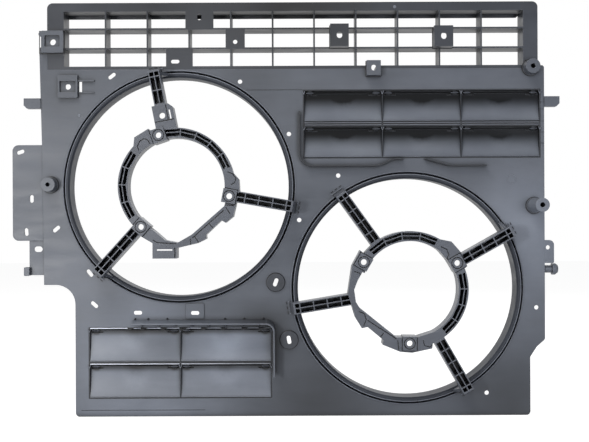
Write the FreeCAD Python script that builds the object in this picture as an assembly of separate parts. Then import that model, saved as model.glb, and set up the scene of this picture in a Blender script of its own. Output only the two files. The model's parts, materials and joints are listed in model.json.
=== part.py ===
import FreeCAD, Part
import math
import os

# Radiator fan shroud for two fans side by side, moulded in glass-filled
# polypropylene, with a slatted air grille on top and ten ram-air flaps.
# Frame: X to the right as seen from the engine side, Z up, Y towards the
# radiator. Origin: the left fan's axis on the front face of the panel.
# All lengths are millimetres and all angles are degrees, measured from +X
# towards +Z as seen from the engine side.

# Sheet and walls
SHEET = 2.5
WALL = 2.0
RIB = 1.6

# The two fans
FAN_PITCH = 364.0
FAN_DROP = 162.7
BORE_R = 175.0
BORE_DEPTH = 34.0
LIP_PROUD = 3.0
LIP_WIDTH = 6.9
GROOVE_WIDTH = 3.1
GROOVE_DEPTH = 12.0
LEFT_TIES = (19.9, 50.1, 80.9, 110.3, 139.8, 198.6, 258.6, 290.1, 319.7)
RIGHT_TIES = (19.5, 66.1, 96.5, 156.4, 0.9, 335.9, 305.6, 276.0, 216.0, 246.0)
TIE_WIDTH = 2.2
TIE_PROUD = 10.5

# Motor carriers and the struts that hold them
CARRIER_DEPTH = 30.0
CARRIER_STANDOFF = 13.0
CARRIER_OUTER_R = 91.0
CARRIER_MID_R = 84.6
CARRIER_INNER_R = 75.5
CARRIER_FLOOR = 2.5
CHANNEL_PITCH = 18.2
BOLT_CIRCLE_R = 84.0
BOLT_HOLE_R = 4.6
BOLT_PAD = 21.8
BOLT_PAD_PROUD = 1.5
BOLT_PAD_DEPTH = 6.0
LEFT_BOLT_ANGLE = 109.0
RIGHT_BOLT_ANGLE = 149.2
STRUT_WIDTH = 17.6
STRUT_TIP_GAP = 3.0
STRUT_FIRST_CELL = 8.0
STRUT_CELL = 21.7
STRUT_FOOT_RUN = 3.5
STRUT_FOOT_GAP = 0.8
WING_REACH = 10.0
WING_HEIGHT = 20.0
WING_THICK = 5.0

# Struts: name, angle, and the side that has a wing at the ring (1 is anticlockwise)
LEFT_STRUTS = (("strut_left_top", 101.0, -1), ("strut_left_lower", 227.6, 1),
               ("strut_left_right", -10.2, 0))
RIGHT_STRUTS = (("strut_right_upper", 125.7, 0), ("strut_right_left", 189.3, 0),
                ("strut_right_lower", -60.2, -1), ("strut_right_outer", 29.2, 1))

# Panel outline
PANEL_LEFT_TOP = -223.2
PANEL_LEFT_BEND = -219.5
PANEL_LEFT_FOOT = -217.0
FAN_TO_RIGHT_EDGE = 220.3
PANEL_RIGHT = FAN_PITCH + FAN_TO_RIGHT_EDGE
PANEL_BOTTOM = -367.0
PANEL_TOP = 188.0
SHOULDER_LEFT_Z = 224.3
SHOULDER_RIGHT_Z = 192.5
BEND_Z = 68.0
FOOT_Z = -156.0
NOTCH_X = -167.0
NOTCH_R = 31.0
CORNER_LOW_INSET = 23.9
CORNER_LOW_Z = -274.0
CORNER_MID_INSET = 13.5
CORNER_MID_Z = -258.0
CORNER_HIGH_Z = -246.0
CORNER_R = 6.5
SKIRT_DEPTH = 18.0

# Top grille
GRILLE_LEFT = -210.4
GRILLE_RIGHT_INSET = 10.0
GRILLE_TOP = 294.8
GRILLE_CORNER_R = 9.0
GRILLE_OPEN_LEFT = -184.0
GRILLE_OPEN_WIDTH = 735.0
GRILLE_OPEN_BOTTOM = 193.2
GRILLE_OPEN_HEIGHT = 87.8
GRILLE_COLUMNS = 11
GRILLE_DEPTH = 40.0
GRILLE_FRAME_WALL = 3.0
MULLION = 2.2
SLAT = 2.5
SLAT_LOW = 28.6
SLAT_HIGH = 59.9
BAFFLE_DROP = 4.8
BAFFLE_CORNER_R = 5.0
CLIP_SLOT_WIDE = 10.0
CLIP_SLOT_FOOT = 183.5

# Closed plates in the grille: run from the opening's left end, and width
HIGH_INFILL = (194.8, 44.8)
MIDDLE_INFILL = (259.0, 30.7)
LOW_INFILL = (163.6, 42.6)

# Ram-air flaps
FLAP_SHEET = 1.6
FLAP_ROW_PITCH = 57.6
FLAP_COLUMN_GAP = 2.0
FLAP_CLEAR = 0.4
FLAP_RIM = 2.0
FLAP_FRAME_DEPTH = 14.0
FLAP_LIP = 2.2
LEDGE_LAP = 1.6
LEDGE_BEHIND = 0.9
HINGE_R = 1.5
HINGE_BEHIND = 6.2
HINGE_BELOW = 3.2
HINGE_CLEAR = 0.3
CLIP_WALL = 1.5
CLIP_LENGTH = 6.4
CLIP_INSET = 5.6
NOTCH_OUT = 4.0
NOTCH_IN = 8.5
CLIP_MOUTH = 2.4
FLAP_FOOT_Y = 0.3
FLAP_BOW = 1.8
SILL_UP = 4.0
SILL_BEHIND = 1.6
UPPER_X = 200.5
UPPER_TOP = 152.8
UPPER_RIGHT_MARGIN = 8.1
UPPER_HEIGHT = 48.4
UPPER_COLUMNS = 3
LOWER_X = -143.8
LOWER_TOP = -226.5
LOWER_WIDTH = 143.6
LOWER_HEIGHT = 52.0
LOWER_COLUMNS = 2
FLAP_ROWS = 2

# Small features on the sheet
SLOT_LONG = 13.4
SLOT_WIDE = 6.2
PIN_HOLE_R = 3.5
PANEL_SLOTS = ((-196.9, -66.5, 40.0), (-107.1, 178.0, 38.0), (-143.8, -137.2, -52.0),
               (-136.6, -187.7, -42.0), (-67.1, -201.0, 0.0))
LEFT_FAN_HOLES = ((97.8, 168.2), (175.7, 84.1))
RIGHT_FAN_HOLES = ((-109.7, 179.9), (-172.4, 109.1), (126.6, -168.5), (206.6, -32.3))
DISC_R = 14.1
DISC_PROUD = 3.0
SLOT_DISCS = (("slot_disc_upper", 153.6, -153.1, 70.0),
              ("slot_disc_lower", FAN_PITCH - 189.5, -FAN_DROP - 82.4, -80.0))
PAD_X = 10.3
PAD_WIDTH = 28.5
PAD_HEIGHT = 24.0
PAD_PROUD = 2.0
PAD_SLOT_DROP = 15.1

# Screw bosses: name, X, Z, height, top radius, bore radius
BOSS_BASE_R = 12.6
BOSS_BASE = 3.0
SCREW_BOSSES = (("boss_left", -206.0, 4.1, 20.0, 11.3, 3.3),
                ("boss_top_right", PANEL_RIGHT - 22.1, 188.6, 21.0, 11.4, 3.8),
                ("boss_right", PANEL_RIGHT - 16.7, -31.8, 56.0, 10.9, 3.9))

# Side plate with its hooked tab, lower left of the panel
PLATE_LEFT = -266.9
PLATE_TOP = 68.1
PLATE_BOTTOM = -85.2
PLATE_RECESS = 1.0
PLATE_SHEET = 3.0
PLATE_CORNER_R = 9.6
PLATE_SLOTS = ((-254.0, 57.0, 18.0), (-236.4, -18.0, 90.0), (-245.1, -71.0, 95.0))
TAB_LEFT = -240.6
TAB_BOTTOM = -140.3
TAB_WINDOW_TOP = -94.2
TAB_WINDOW_BOTTOM = -103.1
TAB_WINDOW_LEFT = -233.0
HOOK_LEFT = -247.4
HOOK_RIGHT = -238.8
HOOK_TOP = -127.3
HOOK_BOTTOM = -141.1
HOOK_PROUD = 9.0

# Locating pegs, lug and snap pin on the panel's sides
PEG_TOP = 142.6
PEG_BOTTOM = 126.3
PEG_LEFT = -248.0
PEG_RIGHT_REACH = 24.1
PEG_THICK = 12.0
PEG_PROUD = 2.0
PEG_CHAMFER = 5.0
LUG_REACH = 14.9
LUG_TOP = -87.3
LUG_BOTTOM = -124.1
LUG_HOLE_X = 5.2
LUG_HOLE_DROP = 11.7
LUG_HOLE_R = 3.4
LUG_CORNER_R = 8.0
SNAP_Z = -133.8
SNAP_BACK = 6.5
SNAP_SHAFT_R = 6.2
SNAP_SHAFT = 13.0
SNAP_HEAD_R = 9.4
SNAP_HEAD = 9.3

# Box brackets on the grille: name, X, Z, width, height, depth, bore radius
BOX_BRACKETS = (("box_bracket_left", 256.4, 238.6, 29.3, 35.6, 21.0, 4.3),
                ("box_bracket_low", 310.8, 187.6, 22.4, 23.6, 15.0, 3.8),
                ("box_bracket_right", 421.2, 236.5, 29.7, 32.8, 21.0, 4.3))
BRACKET_WALL = 2.2

# Corner bracket, slide clip, strut block and under clip
CORNER_BRACKET_X = -200.8
CORNER_BRACKET_Z = 232.1
CORNER_BRACKET_SIZE = 35.0
CORNER_BRACKET_PROUD = 8.0
CORNER_BRACKET_BORE_R = 5.1
CORNER_NUB_R = 4.0
SLIDE_X = -176.9
SLIDE_Z = 160.7
SLIDE_WIDTH = 31.5
SLIDE_HEIGHT = 36.0
SLIDE_PROUD = 6.0
SLIDE_BORE_R = 4.4
SLIDE_SLOT_WIDE = 4.6
SLIDE_SLOT_HIGH = 16.6
SLIDE_RAIL = 20.0
BLOCK_RIGHT = 18.4
BLOCK_LEFT = 13.6
BLOCK_COLLAR = 6.0
BLOCK_REACH = 38.0
BLOCK_CHAMFER = 6.0
BLOCK_BORE_R = 4.7
BLOCK_SLIT_OUT = 12.5
BLOCK_SLIT_LENGTH = 14.5
CLIP_BOX_LEFT = -37.3
CLIP_BOX_RIGHT = 0.4
CLIP_BOX_REACH = 21.9
CLIP_SLIT_REACH = 8.5
CLIP_SLIT_INSET = 6.8
SLIT_WIDTH = 2.2

# Water gutter over the lower flaps, counted from the flaps' window
GUTTER_LEFT = -74.0
GUTTER_ABOVE = 10.9
GUTTER_BESIDE = 3.7
GUTTER_DROP = 73.9
GUTTER_R = 13.0
GUTTER_OUT = 25.0
GUTTER_FALL = 4.0
GUTTER_GUSSETS = 8
GUTTER_GUSSET_DEPTH = 18.0
GUSSET_CLEAR = 0.8

# Two curved ribs under the upper flaps, counted from the flaps' window
CURVED_RIB_PROUD = 9.0
CURVED_RIB_BESIDE = 5.7
CURVED_RIB_BELOW = 11.9
CURVED_RIB_CLEAR = 1.2
LEFT_RIB_RISE = 75.6
LEFT_RIB_RUN = (119.9, 143.9, 159.9)
RIGHT_RIB_RUN = (194.6, 233.9, 292.6)
RIB_BEND_R = 22.0

# Values worked out from the ones above
CORNER_LOW_X = PANEL_RIGHT - CORNER_LOW_INSET
CORNER_MID_X = PANEL_RIGHT - CORNER_MID_INSET
GRILLE_RIGHT = PANEL_RIGHT - GRILLE_RIGHT_INSET
PEG_RIGHT = PANEL_RIGHT + PEG_RIGHT_REACH
UPPER_WIDTH = (PANEL_RIGHT - UPPER_RIGHT_MARGIN - UPPER_X + FLAP_COLUMN_GAP) / UPPER_COLUMNS
UPPER_WIDTH -= FLAP_COLUMN_GAP
LIP_R = BORE_R + LIP_WIDTH
PANEL_HOLE_R = LIP_R + GROOVE_WIDTH
STRUT_TIP_R = PANEL_HOLE_R - STRUT_TIP_GAP
BLOCK_TOP_R = CARRIER_OUTER_R + BLOCK_REACH
BLOCK_MIDDLE_R = CARRIER_OUTER_R + 0.55 * BLOCK_REACH
FRONT = -(CARRIER_STANDOFF + CARRIER_DEPTH)
BACK = -CARRIER_STANDOFF
LEFT_FAN = (0.0, 0.0)
RIGHT_FAN = (FAN_PITCH, -FAN_DROP)
GRILLE_OPEN_TOP = GRILLE_OPEN_BOTTOM + GRILLE_OPEN_HEIGHT
GRILLE_OPEN_RIGHT = GRILLE_OPEN_LEFT + GRILLE_OPEN_WIDTH


def at(x, z, y=0.0):
    return FreeCAD.Vector(x, y, z)


def polar(centre, radius, angle):
    turn = math.radians(angle)
    return (centre[0] + radius * math.cos(turn), centre[1] + radius * math.sin(turn))


def box(left, right, bottom, top, front, back):
    return Part.makeBox(right - left, back - front, top - bottom, at(left, bottom, front))


def cylinder(centre, radius, front, back):
    return Part.makeCylinder(radius, back - front, at(centre[0], centre[1], front),
                             FreeCAD.Vector(0, 1, 0))


def ring(centre, outer, inner, front, back):
    return cylinder(centre, outer, front, back).cut(cylinder(centre, inner, front, back))


def join(solids):
    if len(solids) == 1:
        return solids[0]
    return solids[0].multiFuse(solids[1:]).removeSplitter()


def face_of(points):
    corners = [at(x, z) for x, z in points]
    return Part.Face(Part.makePolygon(corners + corners[:1]))


def stand(face, front, back):
    face = face.copy()
    face.translate(FreeCAD.Vector(0, front, 0))
    return face.extrude(FreeCAD.Vector(0, back - front, 0))


def prism(points, front, back):
    return stand(face_of(points), front, back)


def rounded_face(corners):
    """A face whose corners are (x, z, radius); a radius of 0 stays sharp."""
    count = len(corners)
    stops = []
    for index, (x, z, radius) in enumerate(corners):
        here = at(x, z)
        before = at(*corners[index - 1][:2])
        after = at(*corners[(index + 1) % count][:2])
        if radius <= 0:
            stops.append((here, None, here))
            continue
        way_in = (before - here).normalize()
        way_out = (after - here).normalize()
        half = way_in.getAngle(way_out) / 2
        reach = radius / math.tan(half)
        middle = here + (way_in + way_out).normalize() * (radius / math.sin(half) - radius)
        stops.append((here + way_in * reach, middle, here + way_out * reach))
    edges = []
    for index, (start, middle, end) in enumerate(stops):
        if middle is not None:
            edges.append(Part.Arc(start, middle, end).toShape())
        following = stops[(index + 1) % count][0]
        if (following - end).Length > 0.001:
            edges.append(Part.LineSegment(end, following).toShape())
    return Part.Face(Part.Wire(edges))


def rounded_box(left, right, bottom, top, radius, front, back):
    return stand(rounded_face(((left, bottom, radius), (right, bottom, radius),
                               (right, top, radius), (left, top, radius))), front, back)


def slot(centre, length, width, angle, front, back):
    half = (length - width) / 2
    bar = box(-half, half, -width / 2, width / 2, front, back)
    ends = [cylinder((side * half, 0), width / 2, front, back) for side in (-1, 1)]
    shape = join([bar] + ends)
    return placed(shape, centre, angle)


def slit(centre, length, width, angle, front, back):
    """A square-ended slot."""
    return placed(box(-length / 2, length / 2, -width / 2, width / 2, front, back), centre, angle)


def placed(shape, centre, angle):
    """Turns a shape built along +X to an angle, and moves it to its centre."""
    shape = shape.copy()
    shape.rotate(at(0, 0), FreeCAD.Vector(0, -1, 0), angle)
    shape.translate(at(centre[0], centre[1]))
    return shape


def sector(centre, inner, outer, start, end, front, back):
    """A piece of a flat ring from one angle to a larger one."""
    middle = (start + end) / 2
    arcs = []
    for radius in (inner, outer):
        stops = [at(*polar(centre, radius, angle)) for angle in (start, middle, end)]
        arcs.append((Part.Arc(*stops).toShape(), stops[0], stops[2]))
    sides = [Part.LineSegment(arcs[0][index], arcs[1][index]).toShape() for index in (1, 2)]
    wire = Part.Wire([arcs[0][0], sides[1], arcs[1][0], sides[0]])
    return stand(Part.Face(wire), front, back)


def wall_along(corners, thick, front, back):
    """A wall of even thickness along a path of (x, z, radius) corners."""
    pieces = []
    start = corners[0][:2]
    for index in range(1, len(corners)):
        x, z, radius = corners[index]
        end = (x, z)
        if radius > 0:
            before = (at(*corners[index - 1][:2]) - at(x, z)).normalize()
            after = (at(*corners[index + 1][:2]) - at(x, z)).normalize()
            half = before.getAngle(after) / 2
            reach = radius / math.tan(half)
            hub = at(x, z) + (before + after).normalize() * (radius / math.sin(half))
            tangent_in = at(x, z) + before * reach
            tangent_out = at(x, z) + after * reach
            end = (tangent_in.x, tangent_in.z)
            angles = [math.degrees(math.atan2(p.z - hub.z, p.x - hub.x))
                      for p in (tangent_in, tangent_out)]
            if angles[1] - angles[0] > 180:
                angles[0] += 360
            if angles[0] - angles[1] > 180:
                angles[1] += 360
            pieces.append(sector((hub.x, hub.z), radius - thick / 2, radius + thick / 2,
                                 min(angles), max(angles), front, back))
        if math.dist(start, end) > 0.01:
            pieces.append(straight_wall(start, end, thick, front, back))
        start = end
        if radius > 0:
            start = (tangent_out.x, tangent_out.z)
    return join(pieces)


def straight_wall(start, end, thick, front, back):
    length = math.hypot(end[0] - start[0], end[1] - start[1])
    angle = math.degrees(math.atan2(end[1] - start[1], end[0] - start[0]))
    return placed(box(0, length, -thick / 2, thick / 2, front, back), start, angle)


def tray(face, thick, front, back):
    """A closed front sheet with a wall along its whole edge, open at the back."""
    inside = face.makeOffset2D(-thick, 2)
    return stand(face, front, back).cut(stand(inside, front + thick, back))


def panel_left_edge(z):
    """X of the panel's slightly leaning left edge at a height."""
    if z > BEND_Z:
        share = (z - BEND_Z) / (SHOULDER_LEFT_Z - BEND_Z)
        return PANEL_LEFT_BEND + share * (PANEL_LEFT_TOP - PANEL_LEFT_BEND)
    share = (BEND_Z - z) / (BEND_Z - FOOT_Z)
    return PANEL_LEFT_BEND + share * (PANEL_LEFT_FOOT - PANEL_LEFT_BEND)


def panel_outline():
    return rounded_face((
        (GRILLE_LEFT, PANEL_TOP, 0), (GRILLE_LEFT, SHOULDER_LEFT_Z, 0),
        (PANEL_LEFT_TOP, SHOULDER_LEFT_Z, 3), (PANEL_LEFT_BEND, BEND_Z, 0),
        (PANEL_LEFT_FOOT, FOOT_Z, 0), (NOTCH_X, FOOT_Z, NOTCH_R),
        (NOTCH_X, PANEL_BOTTOM, CORNER_R), (CORNER_LOW_X, PANEL_BOTTOM, CORNER_R),
        (CORNER_LOW_X, CORNER_LOW_Z, 4), (CORNER_MID_X, CORNER_MID_Z, 0),
        (PANEL_RIGHT, CORNER_HIGH_Z, CORNER_R), (PANEL_RIGHT, SHOULDER_RIGHT_Z, 4),
        (GRILLE_RIGHT, SHOULDER_RIGHT_Z, 0), (GRILLE_RIGHT, PANEL_TOP, 0)))


class FlapBank:
    """Places of one bank of flaps, its window and its hinges."""

    def __init__(self, left, top, width, height, columns):
        self.left = left
        self.top = top
        self.width = width
        self.height = height
        self.columns = columns
        margin = FLAP_CLEAR + FLAP_RIM
        self.window_left = left - margin
        self.window_right = left + columns * (width + FLAP_COLUMN_GAP) - FLAP_COLUMN_GAP + margin
        self.window_top = top + margin
        self.foot = top - (FLAP_ROWS - 1) * FLAP_ROW_PITCH - height
        self.window_bottom = self.foot - margin

    def flap_left(self, column):
        return self.left + column * (self.width + FLAP_COLUMN_GAP)

    def flap_top(self, row):
        return self.top - row * FLAP_ROW_PITCH

    def hinge_z(self, row):
        return self.flap_top(row) - HINGE_BELOW

    def clip_spans(self, column):
        """X spans of the two hinge clips of one flap."""
        left = self.flap_left(column) + CLIP_INSET
        right = self.flap_left(column) + self.width - CLIP_INSET
        return ((left, left + CLIP_LENGTH), (right - CLIP_LENGTH, right))


UPPER_BANK = FlapBank(UPPER_X, UPPER_TOP, UPPER_WIDTH, UPPER_HEIGHT, UPPER_COLUMNS)
LOWER_BANK = FlapBank(LOWER_X, LOWER_TOP, LOWER_WIDTH, LOWER_HEIGHT, LOWER_COLUMNS)


def make_panel():
    cuts = [cylinder(fan, PANEL_HOLE_R, 0, SHEET) for fan in (LEFT_FAN, RIGHT_FAN)]
    for bank in (UPPER_BANK, LOWER_BANK):
        cuts.append(box(bank.window_left, bank.window_right, bank.window_bottom,
                        bank.window_top, 0, SHEET))
    for x, z, angle in PANEL_SLOTS:
        cuts.append(slot((x, z), SLOT_LONG, SLOT_WIDE, angle, 0, SHEET))
    for fan, holes in ((LEFT_FAN, LEFT_FAN_HOLES), (RIGHT_FAN, RIGHT_FAN_HOLES)):
        for x, z in holes:
            cuts.append(cylinder((fan[0] + x, fan[1] + z), PIN_HOLE_R, 0, SHEET))
    for _, x, z, angle in SLOT_DISCS:
        cuts.append(slit((x, z), SLOT_LONG, SLOT_WIDE, angle, 0, SHEET))
    cuts.append(slit(pad_slot_centre(), SLOT_LONG, SLOT_WIDE, 0, 0, SHEET))
    cuts.append(clip_slot())
    cuts.append(slit((SLIDE_X, SLIDE_Z), 2 * SLIDE_BORE_R, 2 * SLIDE_BORE_R, 0, 0, SHEET))
    slide_edge = SLIDE_X + SLIDE_WIDTH / 2
    cuts.append(box(slide_edge + RIB, slide_edge + RIB + SLIDE_SLOT_WIDE,
                    SLIDE_Z - SLIDE_SLOT_HIGH / 2, SLIDE_Z + SLIDE_SLOT_HIGH / 2, 0, SHEET))
    return stand(panel_outline(), 0, SHEET).cut(cuts)


def make_skirts():
    """The wall round the back of the panel that closes against the radiator: left,
    bottom and right runs, mitred at the two lower corners."""
    outline = panel_outline()
    loop = outline.cut(outline.makeOffset2D(-WALL, 2))
    back = SHEET + SKIRT_DEPTH
    gap = box(GRILLE_LEFT - 1, GRILLE_RIGHT - WALL, PANEL_TOP - 2 * WALL,
              SHOULDER_LEFT_Z + 1, SHEET, back)
    wall = stand(loop, SHEET, back).cut(gap)
    reach = (CORNER_LOW_X - NOTCH_X) / 2
    wedge = prism(((NOTCH_X - 1, PANEL_BOTTOM - 1), (CORNER_LOW_X + 1, PANEL_BOTTOM - 1),
                   (NOTCH_X + reach, PANEL_BOTTOM + reach)), SHEET, back)
    sides = sorted(wall.cut(wedge).Solids, key=lambda side: side.BoundBox.XMin)
    return {"skirt_left": sides[0], "skirt_bottom": largest(wall.common(wedge)),
            "skirt_right": sides[-1]}


def make_grille():
    sheet = stand(rounded_face(((GRILLE_LEFT, PANEL_TOP, 0), (GRILLE_RIGHT, PANEL_TOP, 0),
                                (GRILLE_RIGHT, GRILLE_TOP, GRILLE_CORNER_R),
                                (GRILLE_LEFT, GRILLE_TOP, GRILLE_CORNER_R))), 0, SHEET)
    wall = GRILLE_FRAME_WALL
    tunnel = box(GRILLE_OPEN_LEFT - wall, GRILLE_OPEN_RIGHT + wall, GRILLE_OPEN_BOTTOM - wall,
                 GRILLE_OPEN_TOP + wall, 0, GRILLE_DEPTH)
    opening = box(GRILLE_OPEN_LEFT, GRILLE_OPEN_RIGHT, GRILLE_OPEN_BOTTOM, GRILLE_OPEN_TOP,
                  0, GRILLE_DEPTH)
    pieces = [join([sheet, tunnel]).cut(opening)]
    for rise in (SLAT_LOW, SLAT_HIGH):
        middle = GRILLE_OPEN_BOTTOM + rise
        pieces.append(box(GRILLE_OPEN_LEFT, GRILLE_OPEN_RIGHT, middle - SLAT / 2,
                          middle + SLAT / 2, 0, GRILLE_DEPTH))
    pitch = GRILLE_OPEN_WIDTH / GRILLE_COLUMNS
    for column in range(1, GRILLE_COLUMNS):
        middle = GRILLE_OPEN_LEFT + column * pitch
        pieces.append(box(middle - MULLION / 2, middle + MULLION / 2, GRILLE_OPEN_BOTTOM,
                          GRILLE_OPEN_TOP, 0, GRILLE_DEPTH))
    lip = GRILLE_OPEN_TOP - BAFFLE_DROP
    baffle = rounded_face(((GRILLE_OPEN_LEFT - 1, lip, 0), (GRILLE_OPEN_RIGHT, lip, BAFFLE_CORNER_R),
                           (GRILLE_OPEN_RIGHT, GRILLE_OPEN_TOP + 1, 0),
                           (GRILLE_OPEN_LEFT - 1, GRILLE_OPEN_TOP + 1, 0)))
    pieces.append(stand(baffle, GRILLE_DEPTH - SHEET, GRILLE_DEPTH))
    low = GRILLE_OPEN_BOTTOM + SLAT_LOW
    high = GRILLE_OPEN_BOTTOM + SLAT_HIGH
    centres = []
    for (run, width), foot, head in ((HIGH_INFILL, high, GRILLE_OPEN_TOP),
                                     (MIDDLE_INFILL, low, high),
                                     (LOW_INFILL, GRILLE_OPEN_BOTTOM, low)):
        left = GRILLE_OPEN_LEFT + run
        pieces.append(box(left, left + width, foot, head, 0, SHEET))
        centres.append(left + width / 2)
    holes = [slot((centres[0], GRILLE_OPEN_TOP - 9.0), 10.0, 7.3, 90, 0, SHEET),
             cylinder((centres[1], low + 10.2), PIN_HOLE_R, 0, SHEET),
             slot((centres[2] - SLOT_LONG / 2, GRILLE_OPEN_BOTTOM + 7.6), SLOT_LONG, SLOT_WIDE,
                  0, 0, SHEET),
             cylinder((CORNER_BRACKET_X, CORNER_BRACKET_Z), CORNER_BRACKET_BORE_R, 0, SHEET)]
    return join(pieces).cut(holes + [clip_slot()])


def clip_slot():
    """Room for a clip's leg behind the low box bracket."""
    middle = BOX_BRACKETS[1][1]
    return box(middle - CLIP_SLOT_WIDE / 2, middle + CLIP_SLOT_WIDE / 2, CLIP_SLOT_FOOT,
               GRILLE_OPEN_BOTTOM, 0, GRILLE_DEPTH)


def make_fan_ring(fan, ties):
    """Double-walled ring: a sloping lip and tunnel inside, a groove and an outer wall."""
    outer = PANEL_HOLE_R + WALL
    tunnel = BORE_R + WALL + 0.7
    floor = GROOVE_DEPTH + SHEET
    points = ((BORE_R, 0), (BORE_R, BORE_DEPTH), (tunnel, BORE_DEPTH), (tunnel, floor),
              (outer, floor), (outer, SHEET), (PANEL_HOLE_R, SHEET),
              (PANEL_HOLE_R, GROOVE_DEPTH), (LIP_R, GROOVE_DEPTH), (LIP_R, -LIP_PROUD),
              (BORE_R + LIP_PROUD, -LIP_PROUD))
    corners = [FreeCAD.Vector(radius, y, 0) for radius, y in points]
    profile = Part.Face(Part.makePolygon(corners + corners[:1]))
    turned = profile.revolve(FreeCAD.Vector(), FreeCAD.Vector(0, 1, 0), 360)
    turned = Part.Solid(turned) if turned.ShapeType == "Shell" else turned
    pieces = [turned]
    for angle in ties:
        pieces.append(placed(box(LIP_R - 1, PANEL_HOLE_R, -TIE_WIDTH / 2, TIE_WIDTH / 2,
                                 GROOVE_DEPTH - TIE_PROUD, GROOVE_DEPTH), (0, 0), angle))
    return placed(join(pieces), fan, 0)


def channel_arc(fan, start, end):
    """An arc of the carrier: a channel open to the front, in two rows of pockets."""
    block = sector(fan, CARRIER_INNER_R, CARRIER_OUTER_R, start, end, FRONT, BACK)
    half_rib = math.degrees(RIB / 2 / CARRIER_MID_R)
    count = max(1, round((end - start) / CHANNEL_PITCH))
    step = (end - start) / count
    chord = math.cos(math.radians(step / 2))
    rows = (((CARRIER_INNER_R + WALL) / chord, CARRIER_MID_R - RIB / 2),
            (CARRIER_MID_R + RIB / 2, CARRIER_OUTER_R - RIB))
    pockets = []
    for inner, outer in rows:
        for cell in range(count):
            near = start + cell * step + half_rib
            far = start + (cell + 1) * step - half_rib
            pockets.append(prism([polar(fan, inner, near), polar(fan, outer, near),
                                  polar(fan, outer, far), polar(fan, inner, far)],
                                 FRONT, BACK - CARRIER_FLOOR))
    return block.cut(pockets)


def closed_arc(fan, start, end):
    """An arc of the carrier with a closed front sheet, hollow from the back."""
    block = sector(fan, CARRIER_INNER_R, CARRIER_OUTER_R, start, end, FRONT, BACK)
    edge = math.degrees(WALL / CARRIER_MID_R)
    inside = sector(fan, CARRIER_INNER_R + WALL, CARRIER_OUTER_R - WALL, start + edge,
                    end - edge, FRONT + SHEET, BACK)
    return block.cut(inside)


def flange_corners(fan, flange):
    """Corners of a plate, each given by an angle and a run in from the carrier's
    inner edge or out from its outer edge."""
    edges = {"in": CARRIER_INNER_R, "out": CARRIER_OUTER_R}
    return [polar(fan, edges[edge] + run, angle) for angle, edge, run in flange]


def make_carrier(fan, bolt_angle, open_arcs, closed_arcs, flanges):
    pieces = [channel_arc(fan, start, end) for start, end in open_arcs]
    pieces += [closed_arc(fan, start, end) for start, end in closed_arcs]
    for flange in flanges:
        pieces.append(tray(face_of(flange_corners(fan, flange)), WALL, FRONT, BACK))
    pads = bolt_pads(fan, bolt_angle, BOLT_PAD, FRONT - BOLT_PAD_PROUD, BACK)
    cores = bolt_pads(fan, bolt_angle, BOLT_PAD - 2 * WALL, FRONT + BOLT_PAD_DEPTH, BACK)
    holes = [cylinder(polar(fan, BOLT_CIRCLE_R, bolt_angle + 120 * index), BOLT_HOLE_R,
                      FRONT - BOLT_PAD_PROUD, BACK) for index in range(3)]
    return join(pieces + pads).cut(cores + holes)


def bolt_pads(fan, bolt_angle, side, front, back):
    """Square blocks at a motor's three bolts, each turned towards the fan's axis."""
    near = BOLT_CIRCLE_R - side / 2
    return [placed(box(near, near + side, -side / 2, side / 2, front, back), fan,
                   bolt_angle + 120 * index) for index in range(3)]


def left_flanges():
    """Outlines of the left carrier's closed plates."""
    corner = ((115.6, "out", 2.7), (115.7, "out", 8.3), (130.5, "out", 9.0),
              (137.7, "out", -1.1), (139.8, "in", 0.4), (131.0, "in", 0.7))
    right = ((21.5, "in", 6.2), (14.5, "out", -1.1), (6.1, "out", 7.2), (-5.7, "out", 8.3),
             (-15.8, "in", 5.5), (0.0, "in", 0.5))
    lower = ((-22.8, "in", 5.5), (-72.5, "in", 3.9), (-89.0, "out", -2.6),
             (-101.9, "out", -4.6), (-111.9, "in", 4.3), (-123.3, "in", 1.1),
             (-124.4, "out", 4.7), (-112.8, "out", 5.3), (-89.1, "out", 5.6),
             (-69.9, "out", 4.1), (-60.8, "out", 3.6), (-59.2, "out", -1.9),
             (-37.4, "out", -2.8), (-36.8, "out", 4.9), (-28.3, "out", 9.8),
             (-9.5, "out", 6.3), (-9.9, "in", 5.7))
    return (corner, right, lower)


def make_left_carrier():
    return make_carrier(LEFT_FAN, LEFT_BOLT_ANGLE, ((18.0, 102.0), (141.0, 216.0)),
                        ((101.0, 142.0), (-16.0, 19.0), (215.0, 236.0)), left_flanges())


def right_flanges():
    """Outlines of the right carrier's closed plates."""
    upper = ((59.1, "in", 2.0), (61.4, "out", -1.1), (49.1, "out", 7.5), (35.9, "out", 7.0),
             (22.0, "out", 5.0), (17.7, "in", 0.1), (39.5, "in", -1.6))
    side = ((161.5, "in", 4.2), (170.3, "in", 7.7), (-180.0, "out", -3.6),
            (-167.4, "out", -4.2), (-159.7, "out", -7.3), (-106.6, "in", 2.1),
            (-83.2, "in", 0.0), (-60.6, "in", 0.3), (-69.8, "out", 7.0), (-88.5, "out", 7.5),
            (-99.5, "out", 7.3), (-116.9, "out", 5.2), (-118.4, "out", -1.8),
            (-139.0, "out", -2.5), (-141.6, "out", 5.6), (-152.7, "out", 5.3),
            (-176.2, "out", 6.3), (157.8, "out", 6.8), (141.7, "out", 7.7),
            (141.8, "out", -7.0))
    return (upper, side)


def make_right_carrier():
    return make_carrier(RIGHT_FAN, RIGHT_BOLT_ANGLE, ((60.0, 137.0), (-52.0, 18.0)),
                        ((17.0, 61.0), (136.0, 160.0), (-68.0, -51.0)), right_flanges())


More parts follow.
